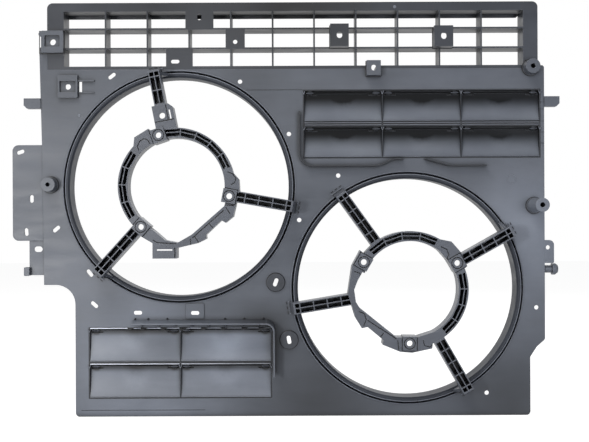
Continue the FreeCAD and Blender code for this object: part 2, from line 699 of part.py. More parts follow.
def carrier_room(fan):
    """What a carrier fills, its hollows included, so that a strut can end on it."""
    flanges = left_flanges() if fan == LEFT_FAN else right_flanges()
    angle = LEFT_BOLT_ANGLE if fan == LEFT_FAN else RIGHT_BOLT_ANGLE
    room = [cylinder(fan, CARRIER_OUTER_R, FRONT, BACK)]
    room += [prism(flange_corners(fan, flange), FRONT, BACK) for flange in flanges]
    return room + bolt_pads(fan, angle, BOLT_PAD, FRONT - BOLT_PAD_PROUD, BACK)


def largest(shape):
    return max(shape.Solids, key=lambda solid: solid.Volume)


def strut_wing(side):
    """A sloping web that braces a strut's side against the ring's lip."""
    near = LIP_R - WING_THICK
    edge = side * STRUT_WIDTH / 2
    corners = [FreeCAD.Vector(near, y, edge + side * out) for y, out in
               ((-LIP_PROUD - WING_HEIGHT, -RIB / 2), (-LIP_PROUD, WING_REACH),
                (-LIP_PROUD, -RIB / 2))]
    face = Part.Face(Part.makePolygon(corners + corners[:1]))
    return face.extrude(FreeCAD.Vector(WING_THICK, 0, 0))


def make_strut(fan, angle, start, wing):
    """A radial box strut: two rows of pockets, a floor, and a foot on the panel."""
    half = STRUT_WIDTH / 2
    blade = box(start, STRUT_TIP_R, -half, half, FRONT, BACK)
    foot_in = PANEL_HOLE_R + STRUT_FOOT_GAP
    foot = ((STRUT_TIP_R, FRONT), (STRUT_TIP_R + 2, FRONT), (foot_in + STRUT_FOOT_RUN, 0),
            (foot_in, 0), (foot_in, BACK), (STRUT_TIP_R, BACK))
    corners = [FreeCAD.Vector(radius, y, -half) for radius, y in foot]
    foot_face = Part.Face(Part.makePolygon(corners + corners[:1]))
    body = join([blade, foot_face.extrude(FreeCAD.Vector(0, 0, STRUT_WIDTH))])
    stops = [STRUT_TIP_R, STRUT_TIP_R - STRUT_FIRST_CELL]
    while stops[-1] - STRUT_CELL > start + WALL:
        stops.append(stops[-1] - STRUT_CELL)
    stops.append(max(start, CARRIER_OUTER_R) + RIB)
    pockets = []
    for far, near in zip(stops, stops[1:]):
        if far - near < 2 * RIB:
            continue
        for low, high in ((-half + RIB, -RIB / 2), (RIB / 2, half - RIB)):
            pockets.append(box(near + RIB / 2, far - RIB / 2, low, high, FRONT,
                               BACK - CARRIER_FLOOR))
    body = body.cut(pockets)
    if wing:
        body = join([body, strut_wing(wing)])
    return largest(placed(body, fan, angle).cut(carrier_room(fan)))


def make_strut_block():
    """The wide block between the left fan's top strut and its motor carrier."""
    angle = LEFT_STRUTS[0][1]
    near = CARRIER_OUTER_R - 4
    face = face_of(((near, -BLOCK_RIGHT), (BLOCK_TOP_R - BLOCK_CHAMFER, -BLOCK_RIGHT),
                    (BLOCK_TOP_R, BLOCK_CHAMFER - BLOCK_RIGHT), (BLOCK_TOP_R, BLOCK_LEFT),
                    (near, BLOCK_LEFT)))
    shell = tray(face, WALL, FRONT, BACK)
    centre = (BLOCK_MIDDLE_R, 0.0)
    shell = shell.cut([cylinder(centre, BLOCK_BORE_R, FRONT, BACK),
                       slit((BLOCK_MIDDLE_R, -BLOCK_SLIT_OUT), BLOCK_SLIT_LENGTH, SLIT_WIDTH,
                            0, FRONT, BACK)])
    collar = ring(centre, BLOCK_BORE_R + RIB, BLOCK_BORE_R, FRONT, FRONT + BLOCK_COLLAR)
    return largest(placed(join([shell, collar]), LEFT_FAN, angle).cut(carrier_room(LEFT_FAN)))


def make_under_clip():
    """The clip box that hangs under the left carrier's lower flange."""
    head = WALL - CARRIER_OUTER_R
    foot = -CARRIER_OUTER_R - CLIP_BOX_REACH
    outline = face_of(((CLIP_BOX_LEFT, head), (CLIP_BOX_RIGHT, head), (CLIP_BOX_RIGHT, foot),
                       (CLIP_BOX_LEFT, foot)))
    middle = ((CLIP_BOX_LEFT + CLIP_BOX_RIGHT) / 2, -CARRIER_OUTER_R - CLIP_SLIT_REACH)
    length = CLIP_BOX_RIGHT - CLIP_BOX_LEFT - 2 * CLIP_SLIT_INSET
    shell = tray(outline, WALL, FRONT, BACK).cut(slit(middle, length, SLIT_WIDTH, 0, FRONT, BACK))
    return largest(shell.cut(carrier_room(LEFT_FAN)))


def hinge_header(bank, row):
    """The bar behind one row's hinges, between the frame's two ends."""
    reach = HINGE_R + HINGE_CLEAR + CLIP_WALL
    return box(bank.window_left + FLAP_RIM, bank.window_right - FLAP_RIM,
               bank.hinge_z(row) - reach, bank.flap_top(row) + FLAP_CLEAR,
               HINGE_BEHIND + reach - 0.4, FLAP_FRAME_DEPTH)


def make_hinge_rail(bank, row):
    """The bar behind one row's hinges with all its clips."""
    clips = [hinge_clip(span, bank.hinge_z(row)) for column in range(bank.columns)
             for span in bank.clip_spans(column)]
    return join([hinge_header(bank, row)] + clips)


def make_flap_frame(bank):
    """Rim, beam, sills, posts, and ledges behind the flaps' edges of one bank."""
    back = FLAP_FRAME_DEPTH
    outer = box(bank.window_left, bank.window_right, bank.window_bottom, bank.window_top,
                0, back)
    inner = box(bank.window_left + FLAP_RIM, bank.window_right - FLAP_RIM,
                bank.window_bottom + FLAP_RIM, bank.window_top - FLAP_RIM, 0, back)
    pieces = [outer.cut(inner)]
    left = bank.window_left + FLAP_RIM / 2
    right = bank.window_right - FLAP_RIM / 2
    for row in range(FLAP_ROWS):
        foot = bank.flap_top(row) - bank.height
        if row < FLAP_ROWS - 1:
            pieces.append(box(left, right, bank.flap_top(row + 1) + FLAP_CLEAR,
                              foot - FLAP_CLEAR, 0, back))
        pieces.append(box(left, right, foot - FLAP_CLEAR - 1, foot + SILL_UP,
                          FLAP_FOOT_Y + FLAP_SHEET + SILL_BEHIND, back / 2 + 1))
    ledge = HINGE_BEHIND + HINGE_R + LEDGE_BEHIND
    for column in range(bank.columns):
        near = bank.flap_left(column)
        for start, end in ((near - FLAP_CLEAR - 0.2, near + LEDGE_LAP),
                           (near + bank.width - LEDGE_LAP, near + bank.width + FLAP_CLEAR + 0.2)):
            pieces.append(box(start, end, bank.window_bottom + FLAP_RIM / 2,
                              bank.window_top - FLAP_RIM / 2, ledge, back))
    for column in range(1, bank.columns):
        middle = bank.flap_left(column) - FLAP_COLUMN_GAP / 2
        thick = FLAP_COLUMN_GAP - 2 * FLAP_CLEAR
        pieces.append(box(middle - thick / 2, middle + thick / 2,
                          bank.window_bottom + FLAP_RIM / 2, bank.window_top - FLAP_RIM / 2,
                          0, back))
    return join(pieces).cut([hinge_header(bank, row) for row in range(FLAP_ROWS)])


def split_frame(bank):
    """A flap frame as its left end post, its grid and its right end post."""
    frame = make_flap_frame(bank)
    left = bank.flap_left(0) + LEDGE_LAP
    right = bank.flap_left(bank.columns - 1) + bank.width - LEDGE_LAP
    spans = ((bank.window_left, left), (left, right), (right, bank.window_right))
    return [largest(frame.common(box(start, end, bank.window_bottom, bank.window_top,
                                     0, FLAP_FRAME_DEPTH))) for start, end in spans]


def hinge_clip(span, hinge):
    """A C-shaped clip round a flap's hinge rod: an eight-sided seat in a square
    block, with its mouth to the front. The corner that the swinging flap would
    meet is cut off."""
    inner = HINGE_R + HINGE_CLEAR
    outer = inner + CLIP_WALL
    eighth = math.tan(math.radians(22.5))
    flat = inner * eighth
    mouth = CLIP_MOUTH / 2
    upper = ((mouth - inner - flat, mouth), (-flat, inner), (flat, inner), (inner, flat))
    seat = upper + tuple((y, -z) for y, z in reversed(upper))
    outside = ((-outer, -mouth), (-outer, -outer * eighth), (-outer * eighth, -outer),
               (outer, -outer), (outer, outer), (-outer, outer), (-outer, mouth))
    corners = [FreeCAD.Vector(span[0], HINGE_BEHIND + y, hinge + z) for y, z in seat + outside]
    return Part.Face(Part.makePolygon(corners + corners[:1])).extrude(
        FreeCAD.Vector(span[1] - span[0], 0, 0))


def make_flap(bank, row, column):
    """One flap: a bowed sheet with a foot lip, notches for its clips and its rod."""
    left = bank.flap_left(column)
    right = left + bank.width
    hinge = bank.hinge_z(row)
    foot = bank.flap_top(row) - bank.height
    half = FLAP_SHEET / 2
    foot_y = FLAP_FOOT_Y + half
    curve = ((HINGE_BEHIND, hinge), ((HINGE_BEHIND + foot_y) / 2 + FLAP_BOW, (hinge + foot) / 2),
             (foot_y, foot))
    front = [FreeCAD.Vector(left, y - half, z) for y, z in curve]
    back = [FreeCAD.Vector(left, y + half, z) for y, z in curve]
    outline = Part.Wire([Part.Arc(*front).toShape(), Part.LineSegment(front[2], back[2]).toShape(),
                         Part.Arc(*reversed(back)).toShape(),
                         Part.LineSegment(back[0], front[0]).toShape()])
    sheet = Part.Face(outline).extrude(FreeCAD.Vector(right - left, 0, 0))
    clip_reach = (HINGE_R + HINGE_CLEAR + CLIP_WALL) / math.cos(math.radians(22.5))
    notch_deep = clip_reach + HINGE_CLEAR
    notches = []
    (first, first_end), (second, second_end) = bank.clip_spans(column)
    for start, end in ((first - NOTCH_OUT, first_end + NOTCH_IN),
                       (second - NOTCH_IN, second_end + NOTCH_OUT)):
        notches.append(box(start, end, hinge - notch_deep, hinge + notch_deep,
                           0, 2 * HINGE_BEHIND))
    rod = Part.makeCylinder(HINGE_R, right - left, FreeCAD.Vector(left, HINGE_BEHIND, hinge),
                            FreeCAD.Vector(1, 0, 0))
    lip = box(left, right, foot, foot + half, FLAP_FOOT_Y - FLAP_LIP + half, FLAP_FOOT_Y + half)
    return join([sheet.cut(notches), rod, lip])


def make_boss(x, z, height, top_r, bore_r):
    """A screw boss with a wider foot and a blind bore."""
    body = join([cylinder((x, z), BOSS_BASE_R, -BOSS_BASE, 0),
                 cylinder((x, z), top_r, -height, 0)])
    return body.cut(cylinder((x, z), bore_r, -height, -SHEET))


def make_slot_disc(x, z, angle):
    disc = cylinder((x, z), DISC_R, -DISC_PROUD, 0)
    return disc.cut(slot((x, z), SLOT_LONG, SLOT_WIDE, angle, -DISC_PROUD, 0))


def pad_top():
    return -(PANEL_HOLE_R + 1.5)


def pad_slot_centre():
    return (PAD_X + PAD_WIDTH / 2, pad_top() - PAD_SLOT_DROP)


def make_slot_pad():
    pad = rounded_box(PAD_X, PAD_X + PAD_WIDTH, pad_top() - PAD_HEIGHT, pad_top(), 2,
                      -PAD_PROUD, 0)
    return pad.cut(slot(pad_slot_centre(), SLOT_LONG, SLOT_WIDE, 0, -PAD_PROUD, 0))


def make_side_plate():
    front = PLATE_RECESS
    back = PLATE_RECESS + PLATE_SHEET
    face = rounded_face(((PLATE_LEFT, PLATE_TOP, PLATE_CORNER_R),
                         (panel_left_edge(PLATE_TOP), PLATE_TOP, 0),
                         (panel_left_edge(PLATE_BOTTOM), PLATE_BOTTOM, 0),
                         (PLATE_LEFT, PLATE_BOTTOM, PLATE_CORNER_R)))
    cuts = [slot((x, z), SLOT_LONG - 1, SLOT_WIDE, angle, front, back)
            for x, z, angle in PLATE_SLOTS]
    return stand(face, front, back).cut(cuts)


def make_hook_tab():
    front = PLATE_RECESS + 1
    back = front + PLATE_SHEET
    face = face_of(((TAB_LEFT, PLATE_BOTTOM), (panel_left_edge(PLATE_BOTTOM), PLATE_BOTTOM),
                    (panel_left_edge(TAB_BOTTOM), TAB_BOTTOM), (TAB_LEFT, TAB_BOTTOM)))
    half = (TAB_WINDOW_TOP - TAB_WINDOW_BOTTOM) / 2
    window_right = panel_left_edge(TAB_WINDOW_TOP) - WALL
    window = slot(((TAB_WINDOW_LEFT + window_right) / 2, TAB_WINDOW_TOP - half),
                  window_right - TAB_WINDOW_LEFT, 2 * half, 0, front, back)
    tab = stand(face, front, back).cut(window)
    hook = rounded_box(HOOK_LEFT, HOOK_RIGHT, HOOK_BOTTOM, HOOK_TOP, 1.5,
                       front - HOOK_PROUD, back)
    return join([tab, hook])


def make_peg(side):
    """A flat locating peg on the panel's side edge: -1 is left and 1 is right."""
    if side < 0:
        root_top, root_bottom, tip = panel_left_edge(PEG_TOP), panel_left_edge(PEG_BOTTOM), PEG_LEFT
    else:
        root_top, root_bottom, tip = PANEL_RIGHT, PANEL_RIGHT, PEG_RIGHT
    points = ((root_top, PEG_TOP), (root_bottom, PEG_BOTTOM),
              (tip - side * PEG_CHAMFER, PEG_BOTTOM), (tip, PEG_BOTTOM + PEG_CHAMFER),
              (tip, PEG_TOP))
    return prism(points, -PEG_PROUD, -PEG_PROUD + PEG_THICK)


def make_lug():
    face = rounded_face(((PANEL_RIGHT, LUG_TOP, 0), (PANEL_RIGHT, LUG_BOTTOM, 0),
                         (PANEL_RIGHT + LUG_REACH, LUG_BOTTOM, 2),
                         (PANEL_RIGHT + LUG_REACH, LUG_TOP, LUG_CORNER_R)))
    hole = cylinder((PANEL_RIGHT + LUG_HOLE_X, LUG_TOP - LUG_HOLE_DROP), LUG_HOLE_R,
                    0, PLATE_SHEET)
    return stand(face, 0, PLATE_SHEET).cut(hole)


def make_snap_pin():
    """A mushroom pin that stands out sideways from the skirt, with a split head."""
    root = FreeCAD.Vector(PANEL_RIGHT, SNAP_BACK + SHEET, SNAP_Z)
    along = FreeCAD.Vector(1, 0, 0)
    shaft = Part.makeCylinder(SNAP_SHAFT_R, SNAP_SHAFT, root, along)
    neck = root + along * SNAP_SHAFT
    taper = SNAP_HEAD * 0.45
    disc = Part.makeCylinder(SNAP_HEAD_R, SNAP_HEAD - taper, neck, along)
    nose = Part.makeCone(SNAP_HEAD_R, SNAP_SHAFT_R, taper, neck + along * (SNAP_HEAD - taper),
                         along)
    return join([shaft, disc, nose])


def make_box_bracket(x, z, width, height, depth, bore_r):
    outline = face_of(((x - width / 2, z - height / 2), (x + width / 2, z - height / 2),
                       (x + width / 2, z + height / 2), (x - width / 2, z + height / 2)))
    shell = tray(outline, BRACKET_WALL, -depth, 0)
    return shell.cut(slot((x, z), 2 * bore_r + 1.6, 2 * bore_r, 90, -depth, 0))


def make_corner_bracket():
    half = CORNER_BRACKET_SIZE / 2
    x, z = CORNER_BRACKET_X, CORNER_BRACKET_Z
    body = rounded_box(x - half, x + half, z - half, z + half, 2, -CORNER_BRACKET_PROUD, 0)
    recess = rounded_box(x - half + 5.5, x + half - 5.5, z - half + 9.5, z + half - 7,
                         2, -CORNER_BRACKET_PROUD, -CORNER_BRACKET_PROUD / 2)
    bore = cylinder((x, z), CORNER_BRACKET_BORE_R, -CORNER_BRACKET_PROUD, 0)
    nub = cylinder((x - half, z + half - 5.5), CORNER_NUB_R, -CORNER_BRACKET_PROUD, 0)
    return join([body.cut([recess, bore]), nub])


def make_slide_clip():
    half_x = SLIDE_WIDTH / 2
    half_z = SLIDE_HEIGHT / 2
    x, z = SLIDE_X, SLIDE_Z
    body = rounded_box(x - half_x, x + half_x, z - half_z, z + half_z, 1, -SLIDE_PROUD, 0)
    recess = box(x - half_x + 3, x + half_x - 3, z - 8.8, z + 8.8, -SLIDE_PROUD, -2)
    bore = cylinder((x, z), SLIDE_BORE_R, -SLIDE_PROUD, 0)
    rail_left = x + half_x + RIB + SLIDE_SLOT_WIDE
    rail_top = z + SLIDE_SLOT_HIGH / 2
    top_rail = box(x + half_x - 1, rail_left + SLIDE_RAIL, rail_top, rail_top + 2.4, -3.5, 0)
    low_rail = box(x + half_x - 1, rail_left + SLIDE_RAIL, z - SLIDE_SLOT_HIGH / 2 - 1.4,
                   z - SLIDE_SLOT_HIGH / 2, -2.0, 0)
    return join([body.cut([recess, bore]), top_rail, low_rail])


def gutter_z():
    return LOWER_BANK.window_top + GUTTER_ABOVE


def bend_start():
    """X where the gutter's shelf ends and its bend begins."""
    return LOWER_BANK.window_right + GUTTER_BESIDE - GUTTER_R


def sloping_wall(path):
    """A wall along a path that stands out from the panel and falls a little."""
    band = wall_along(path, WALL, -1, 0)
    root = [face for face in band.Faces if abs(face.BoundBox.YMax) + abs(face.BoundBox.YMin) < 0.01]
    return join([face.extrude(FreeCAD.Vector(0, -GUTTER_OUT, -GUTTER_FALL)) for face in root])


def make_gutter():
    """The sloping shelf over the lower flaps, with a row of gussets below."""
    pieces = [sloping_wall(((GUTTER_LEFT, gutter_z(), 0), (bend_start(), gutter_z(), 0)))]
    pitch = (bend_start() - GUTTER_LEFT) / GUTTER_GUSSETS
    top = gutter_z() - WALL / 2 + 0.5
    fall = GUTTER_FALL * GUTTER_GUSSET_DEPTH / GUTTER_OUT
    foot = LOWER_BANK.window_top + GUSSET_CLEAR
    for index in range(GUTTER_GUSSETS):
        x = GUTTER_LEFT + (index + 0.5) * pitch
        corners = [FreeCAD.Vector(x, y, z) for y, z in
                   ((0, top), (-GUTTER_GUSSET_DEPTH, top - fall), (0, foot))]
        pieces.append(Part.Face(Part.makePolygon(corners + corners[:1])).extrude(
            FreeCAD.Vector(RIB, 0, 0)))
    return join(pieces)


def make_gutter_drop():
    """The gutter's bend and the wall that runs down beside the lower flaps."""
    x = bend_start() + GUTTER_R
    return sloping_wall(((bend_start(), gutter_z(), 0), (x, gutter_z(), GUTTER_R),
                         (x, LOWER_BANK.window_top - GUTTER_DROP, 0)))


def make_curved_rib_left():
    left = UPPER_BANK.window_left
    low = UPPER_BANK.window_bottom - CURVED_RIB_BELOW
    high = UPPER_BANK.window_bottom - CURVED_RIB_CLEAR
    dip, rise, end = (left + run for run in LEFT_RIB_RUN)
    path = ((left - CURVED_RIB_BESIDE, UPPER_BANK.window_bottom + LEFT_RIB_RISE, 0),
            (left - CURVED_RIB_BESIDE, low, RIB_BEND_R), (dip, low, RIB_BEND_R),
            (rise, high, RIB_BEND_R), (end, high, 0))
    return wall_along(path, WALL, -CURVED_RIB_PROUD, 0)


def make_curved_rib_right():
    low = UPPER_BANK.window_bottom - CURVED_RIB_BELOW
    high = UPPER_BANK.window_bottom - CURVED_RIB_CLEAR
    start, dip, end = (UPPER_BANK.window_left + run for run in RIGHT_RIB_RUN)
    path = ((start, high, 0), (dip, low, 2 * RIB_BEND_R), (end, low, 0))
    return wall_along(path, WALL, -CURVED_RIB_PROUD, 0)


def build():
    parts = {"main_panel": make_panel(), "top_grille": make_grille(),
             "fan_ring_left": make_fan_ring(LEFT_FAN, LEFT_TIES),
             "fan_ring_right": make_fan_ring(RIGHT_FAN, RIGHT_TIES),
             "motor_carrier_left": make_left_carrier(),
             "motor_carrier_right": make_right_carrier(),
             "strut_block": make_strut_block(), "under_clip": make_under_clip(),
             "lower_flap_frame": make_flap_frame(LOWER_BANK),
             "slot_pad": make_slot_pad(), "side_plate": make_side_plate(),
             "hook_tab": make_hook_tab(), "locating_peg_left": make_peg(-1),
             "locating_peg_right": make_peg(1), "fixing_lug": make_lug(),
             "snap_pin": make_snap_pin(), "corner_bracket": make_corner_bracket(),
             "slide_clip": make_slide_clip(), "water_gutter": make_gutter(),
             "gutter_drop": make_gutter_drop(),
             "curved_rib_left": make_curved_rib_left(),
             "curved_rib_right": make_curved_rib_right()}
    parts.update(make_skirts())
    frame_names = ("upper_frame_post_left", "upper_flap_frame", "upper_frame_post_right")
    parts.update(zip(frame_names, split_frame(UPPER_BANK)))
    for name, angle, wing in LEFT_STRUTS:
        start = BLOCK_TOP_R if name == "strut_left_top" else CARRIER_OUTER_R - WALL
        parts[name] = make_strut(LEFT_FAN, angle, start, wing)
    for name, angle, wing in RIGHT_STRUTS:
        parts[name] = make_strut(RIGHT_FAN, angle, CARRIER_OUTER_R - WALL, wing)
    for name, x, z, height, top_r, bore_r in SCREW_BOSSES:
        parts[name] = make_boss(x, z, height, top_r, bore_r)
    for name, x, z, angle in SLOT_DISCS:
        parts[name] = make_slot_disc(x, z, angle)
    for name, x, z, width, height, depth, bore_r in BOX_BRACKETS:
        parts[name] = make_box_bracket(x, z, width, height, depth, bore_r)
    for label, bank in (("upper", UPPER_BANK), ("lower", LOWER_BANK)):
        for row in range(FLAP_ROWS):
            parts[f"{label}_hinge_rail_{row + 1}"] = make_hinge_rail(bank, row)
            for column in range(bank.columns):
                number = row * bank.columns + column + 1
                parts[f"{label}_flap_{number}"] = make_flap(bank, row, column)
    return parts


os.makedirs("parts", exist_ok=True)
for node, shape in build().items():
    solids = shape.Solids
    print(node, "solids", len(solids), "valid", shape.isValid(), "volume", round(shape.Volume))
    if len(solids) == 1:
        shape = solids[0]
    shape.exportStep(f"parts/{node}.step")
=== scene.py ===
# %% [markdown]
# # Dressing a radiator fan shroud
# A radiator fan shroud is one big moulding that sits between the radiator and the two fans.
# Its shape comes from CAD and arrives here as a fixed frame: each part is already in place, in
# metres, with X to the right, Z up and Y pointing away from us towards the radiator.
# This lesson gives those parts real finishes, adds the small moulded details that would cost
# a CAD model too many faces, and lights the result like a plain catalogue photograph.

# %% Load the frame
import json
import math

import bpy
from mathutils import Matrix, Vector


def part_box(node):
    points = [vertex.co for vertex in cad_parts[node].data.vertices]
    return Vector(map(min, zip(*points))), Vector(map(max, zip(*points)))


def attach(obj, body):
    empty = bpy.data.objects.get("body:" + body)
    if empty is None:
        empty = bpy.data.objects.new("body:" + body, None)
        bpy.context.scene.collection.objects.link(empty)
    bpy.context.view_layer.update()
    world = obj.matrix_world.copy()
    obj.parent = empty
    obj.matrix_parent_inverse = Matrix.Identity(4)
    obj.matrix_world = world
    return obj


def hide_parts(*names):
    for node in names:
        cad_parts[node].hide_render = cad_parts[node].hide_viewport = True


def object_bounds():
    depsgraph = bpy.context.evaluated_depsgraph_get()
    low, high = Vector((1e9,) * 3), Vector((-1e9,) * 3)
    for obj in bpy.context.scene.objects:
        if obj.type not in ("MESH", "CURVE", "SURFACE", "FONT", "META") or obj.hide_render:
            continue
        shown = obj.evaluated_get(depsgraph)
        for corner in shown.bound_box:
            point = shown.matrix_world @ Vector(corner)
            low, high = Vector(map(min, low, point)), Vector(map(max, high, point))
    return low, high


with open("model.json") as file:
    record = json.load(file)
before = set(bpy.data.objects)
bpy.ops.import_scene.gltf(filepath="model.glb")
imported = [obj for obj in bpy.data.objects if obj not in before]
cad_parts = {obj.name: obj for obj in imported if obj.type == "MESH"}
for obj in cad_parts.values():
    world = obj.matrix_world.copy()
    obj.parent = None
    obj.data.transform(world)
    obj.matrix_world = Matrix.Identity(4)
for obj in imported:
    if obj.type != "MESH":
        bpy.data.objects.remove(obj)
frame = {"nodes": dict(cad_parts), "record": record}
CAD_BOX = [list(corner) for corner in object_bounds()]
print("CAD box in metres", CAD_BOX)

# %% [markdown]
# ## Colours and nodes
# A colour on a screen is an sRGB value, but a material's sockets expect linear light.
# One function turns a hex code into what a socket needs, so every colour below can be read as
# a designer would write it. A second small function adds a node, sets its options, and fills
# or links its inputs. With it a material reads from top to bottom like a recipe.

# %% Colour and node helpers
def linear(code):
    """An sRGB hex colour as the linear RGBA list that a socket takes."""
    parts = [int(code[index:index + 2], 16) / 255 for index in (1, 3, 5)]
    return [p / 12.92 if p <= 0.04045 else ((p + 0.055) / 1.055) ** 2.4 for p in parts] + [1.0]


def add(tree, kind, inputs=None, **settings):
    """Adds a node. inputs holds values, or the output sockets to link from."""
    node = tree.nodes.new(kind)
    for name, value in settings.items():
        setattr(node, name, value)
    for key, value in (inputs or {}).items():
        if isinstance(value, bpy.types.NodeSocket):
            tree.links.new(value, node.inputs[key])
        else:
            node.inputs[key].default_value = value
    return node


MM = 0.001

# %% [markdown]
# ## The moulded plastic
# The shroud is glass-filled polypropylene, injection moulded in a spark-eroded steel mould.
# To the eye that is a matte charcoal that is never quite even: faint clouds and flow marks
# where the melt spread, and a speckle of glass fibre. Its edges are slightly rounded, and the
# colour paints a paler highlight on them. A flat colour would look like paper, and an image
# texture would be fixed to one view, so the finish is built from noise in the part's own
# coordinates. Every pattern's scale is a real size in millimetres: clouds about 90 mm across,
# flow marks about 25 mm by 125 mm, and a grain of 1.2 mm, drawn coarser than the real 0.1 mm
# so that it shows.
# Corners get painted shade: the colour darkens where something stands within 9 mm, which the
# Ambient Occlusion node measures.

# %% Moulded plastic material
CLOUD_MM = 90.0
FLOW_MM = 25.0
FLOW_STRETCH = 0.2
GRAIN_MM = 1.2
EDGE_MM = 0.9
CORNER_MM = 9.0
FLOW_SHARE = 0.45            # how much the flow marks count beside the clouds
SPECKLE_SHARE = 0.14         # how much the fibre speckle counts beside both
GREY_STOPS = (0.30, 0.72)    # noise values that give the deep and the pale grey
GRAIN_DEEP_MM = 0.05
FLOW_DEEP_MM = 0.25
CORNER_SHADE_COLOUR = "#0c0d10"
PLASTIC_IOR = 1.49


def moulded_plastic(name, deep, pale, edge, rough=(0.34, 0.50), grain=0.35, turn=35.0,
                    corner_shade=0.85, tone=None, shine=0.5):
    """Matte moulded polypropylene. Its colour drifts between two greys, deep and pale, and
    turns to a third, edge, as a painted highlight at edges. rough is the range of roughness,
    grain the strength of the fine relief, turn the flow marks' angle in degrees, corner_shade
    how dark the painted shade in corners gets and shine the strength of the gloss. tone may be
    a function that takes the tree and the place, and returns a brightness factor."""
    material = bpy.data.materials.new(name)
    material.use_nodes = True
    tree = material.node_tree
    tree.nodes.clear()
    place = add(tree, "ShaderNodeTexCoord").outputs["Object"]
    clouds = add(tree, "ShaderNodeTexNoise", {"Vector": place, "Scale": 1 / (CLOUD_MM * MM),
                                              "Detail": 3.0, "Roughness": 0.55})
    lines = add(tree, "ShaderNodeMapping", {"Vector": place,
                                            "Rotation": (0.0, math.radians(turn), 0.0),
                                            "Scale": (FLOW_STRETCH, 1.0, 1.0)})
    flow = add(tree, "ShaderNodeTexNoise", {"Vector": lines.outputs[0],
                                            "Scale": 1 / (FLOW_MM * MM), "Detail": 4.0,
                                            "Roughness": 0.6, "Distortion": 0.4})
    speckle = add(tree, "ShaderNodeTexNoise", {"Vector": place, "Scale": 1 / (GRAIN_MM * MM),
                                               "Detail": 2.0, "Roughness": 0.7})
    drift = add(tree, "ShaderNodeMix", {0: FLOW_SHARE, 2: clouds.outputs[0],
                                        3: flow.outputs[0]}, data_type="FLOAT")
    drift = add(tree, "ShaderNodeMix", {0: SPECKLE_SHARE, 2: drift.outputs[0],
                                        3: speckle.outputs[0]}, data_type="FLOAT")
    share = add(tree, "ShaderNodeMapRange", {"Value": drift.outputs[0],
                                             "From Min": GREY_STOPS[0],
                                             "From Max": GREY_STOPS[1]})
    grey = add(tree, "ShaderNodeMix", {0: share.outputs[0], 6: linear(deep), 7: linear(pale)},
               data_type="RGBA")
    toned = grey.outputs[2]
    if tone:
        toned = add(tree, "ShaderNodeVectorMath", {0: toned, "Scale": tone(tree, place)},
                    operation="SCALE").outputs[0]
    # Painted highlight at edges: where the Bevel node's rounded normal turns away from the true
    # one, the colour turns towards the pale edge grey.
    soft = add(tree, "ShaderNodeBevel", {"Radius": EDGE_MM * MM}, samples=6)
    sharp = add(tree, "ShaderNodeNewGeometry").outputs["Normal"]
    turned = add(tree, "ShaderNodeVectorMath", {0: soft.outputs[0], 1: sharp},
                 operation="DOT_PRODUCT")
    edge_highlight = add(tree, "ShaderNodeMapRange", {"Value": turned.outputs["Value"], "From Min": 1.0,
                                              "From Max": 0.75, "To Max": 0.55})
    colour = add(tree, "ShaderNodeMix", {0: edge_highlight.outputs[0], 6: toned, 7: linear(edge)},
                 data_type="RGBA")
    # Painted shade in corners: the colour darkens towards near black where the Ambient Occlusion
    # node finds something within CORNER_MM.
    corners = add(tree, "ShaderNodeAmbientOcclusion", {"Distance": CORNER_MM * MM}, samples=6)
    corner_shade_mask = add(tree, "ShaderNodeMapRange", {"Value": corners.outputs["AO"], "From Min": 0.35,
                                             "From Max": 0.95, "To Min": corner_shade, "To Max": 0.0})
    colour = add(tree, "ShaderNodeMix", {0: corner_shade_mask.outputs[0], 6: colour.outputs[2],
                                         7: linear(CORNER_SHADE_COLOUR)}, data_type="RGBA")
    roughness = add(tree, "ShaderNodeMapRange", {"Value": flow.outputs[0], "From Min": 0.3,
                                                 "From Max": 0.7, "To Min": rough[0],
                                                 "To Max": rough[1]})
    relief = add(tree, "ShaderNodeBump", {"Strength": grain, "Distance": GRAIN_DEEP_MM * MM,
                                          "Height": speckle.outputs[0],
                                          "Normal": soft.outputs[0]})
    waves = add(tree, "ShaderNodeBump", {"Strength": 0.5, "Distance": FLOW_DEEP_MM * MM,
                                         "Height": flow.outputs[0],
                                         "Normal": relief.outputs[0]})
    shader = add(tree, "ShaderNodeBsdfPrincipled", {"Base Color": colour.outputs[2],
                                                    "Roughness": roughness.outputs[0],
                                                    "IOR": PLASTIC_IOR,
                                                    "Specular IOR Level": shine,
                                                    "Normal": waves.outputs[0]})
    add(tree, "ShaderNodeOutputMaterial", {"Surface": shader.outputs[0]})
    return material


# %% [markdown]
# ## Painted light and shade over the panel and the flaps
# The panel's colour is painted paler and darker in a few soft round zones, as painted light
# and shade. Each is a centre and a radius in millimetres and a change of brightness. The flaps
# are moulded on their own: each is painted darker towards its hinge, for the shade there, and
# round its clips, and has a dark smudge at the middle of its top and a pale cloudy patch below
# it, so their tone is worked out from the place within one flap.

# %% Tone functions
def near(tree, place, centre, radius, peak):
    """A soft round patch: peak at its centre, and nothing beyond its radius in millimetres."""
    away = add(tree, "ShaderNodeVectorMath", {0: place, 1: [value * MM for value in centre]},
               operation="DISTANCE")
    return add(tree, "ShaderNodeMapRange", {"Value": away.outputs["Value"], "From Min": 0.0,
                                            "From Max": radius * MM, "To Min": peak,
                                            "To Max": 0.0},
               interpolation_type="SMOOTHSTEP").outputs[0]


def total(tree, terms):
    """Adds up several values."""
    whole = terms[0]
    for term in terms[1:]:
        whole = add(tree, "ShaderNodeMath", {0: whole, 1: term}, operation="ADD").outputs[0]
    return whole


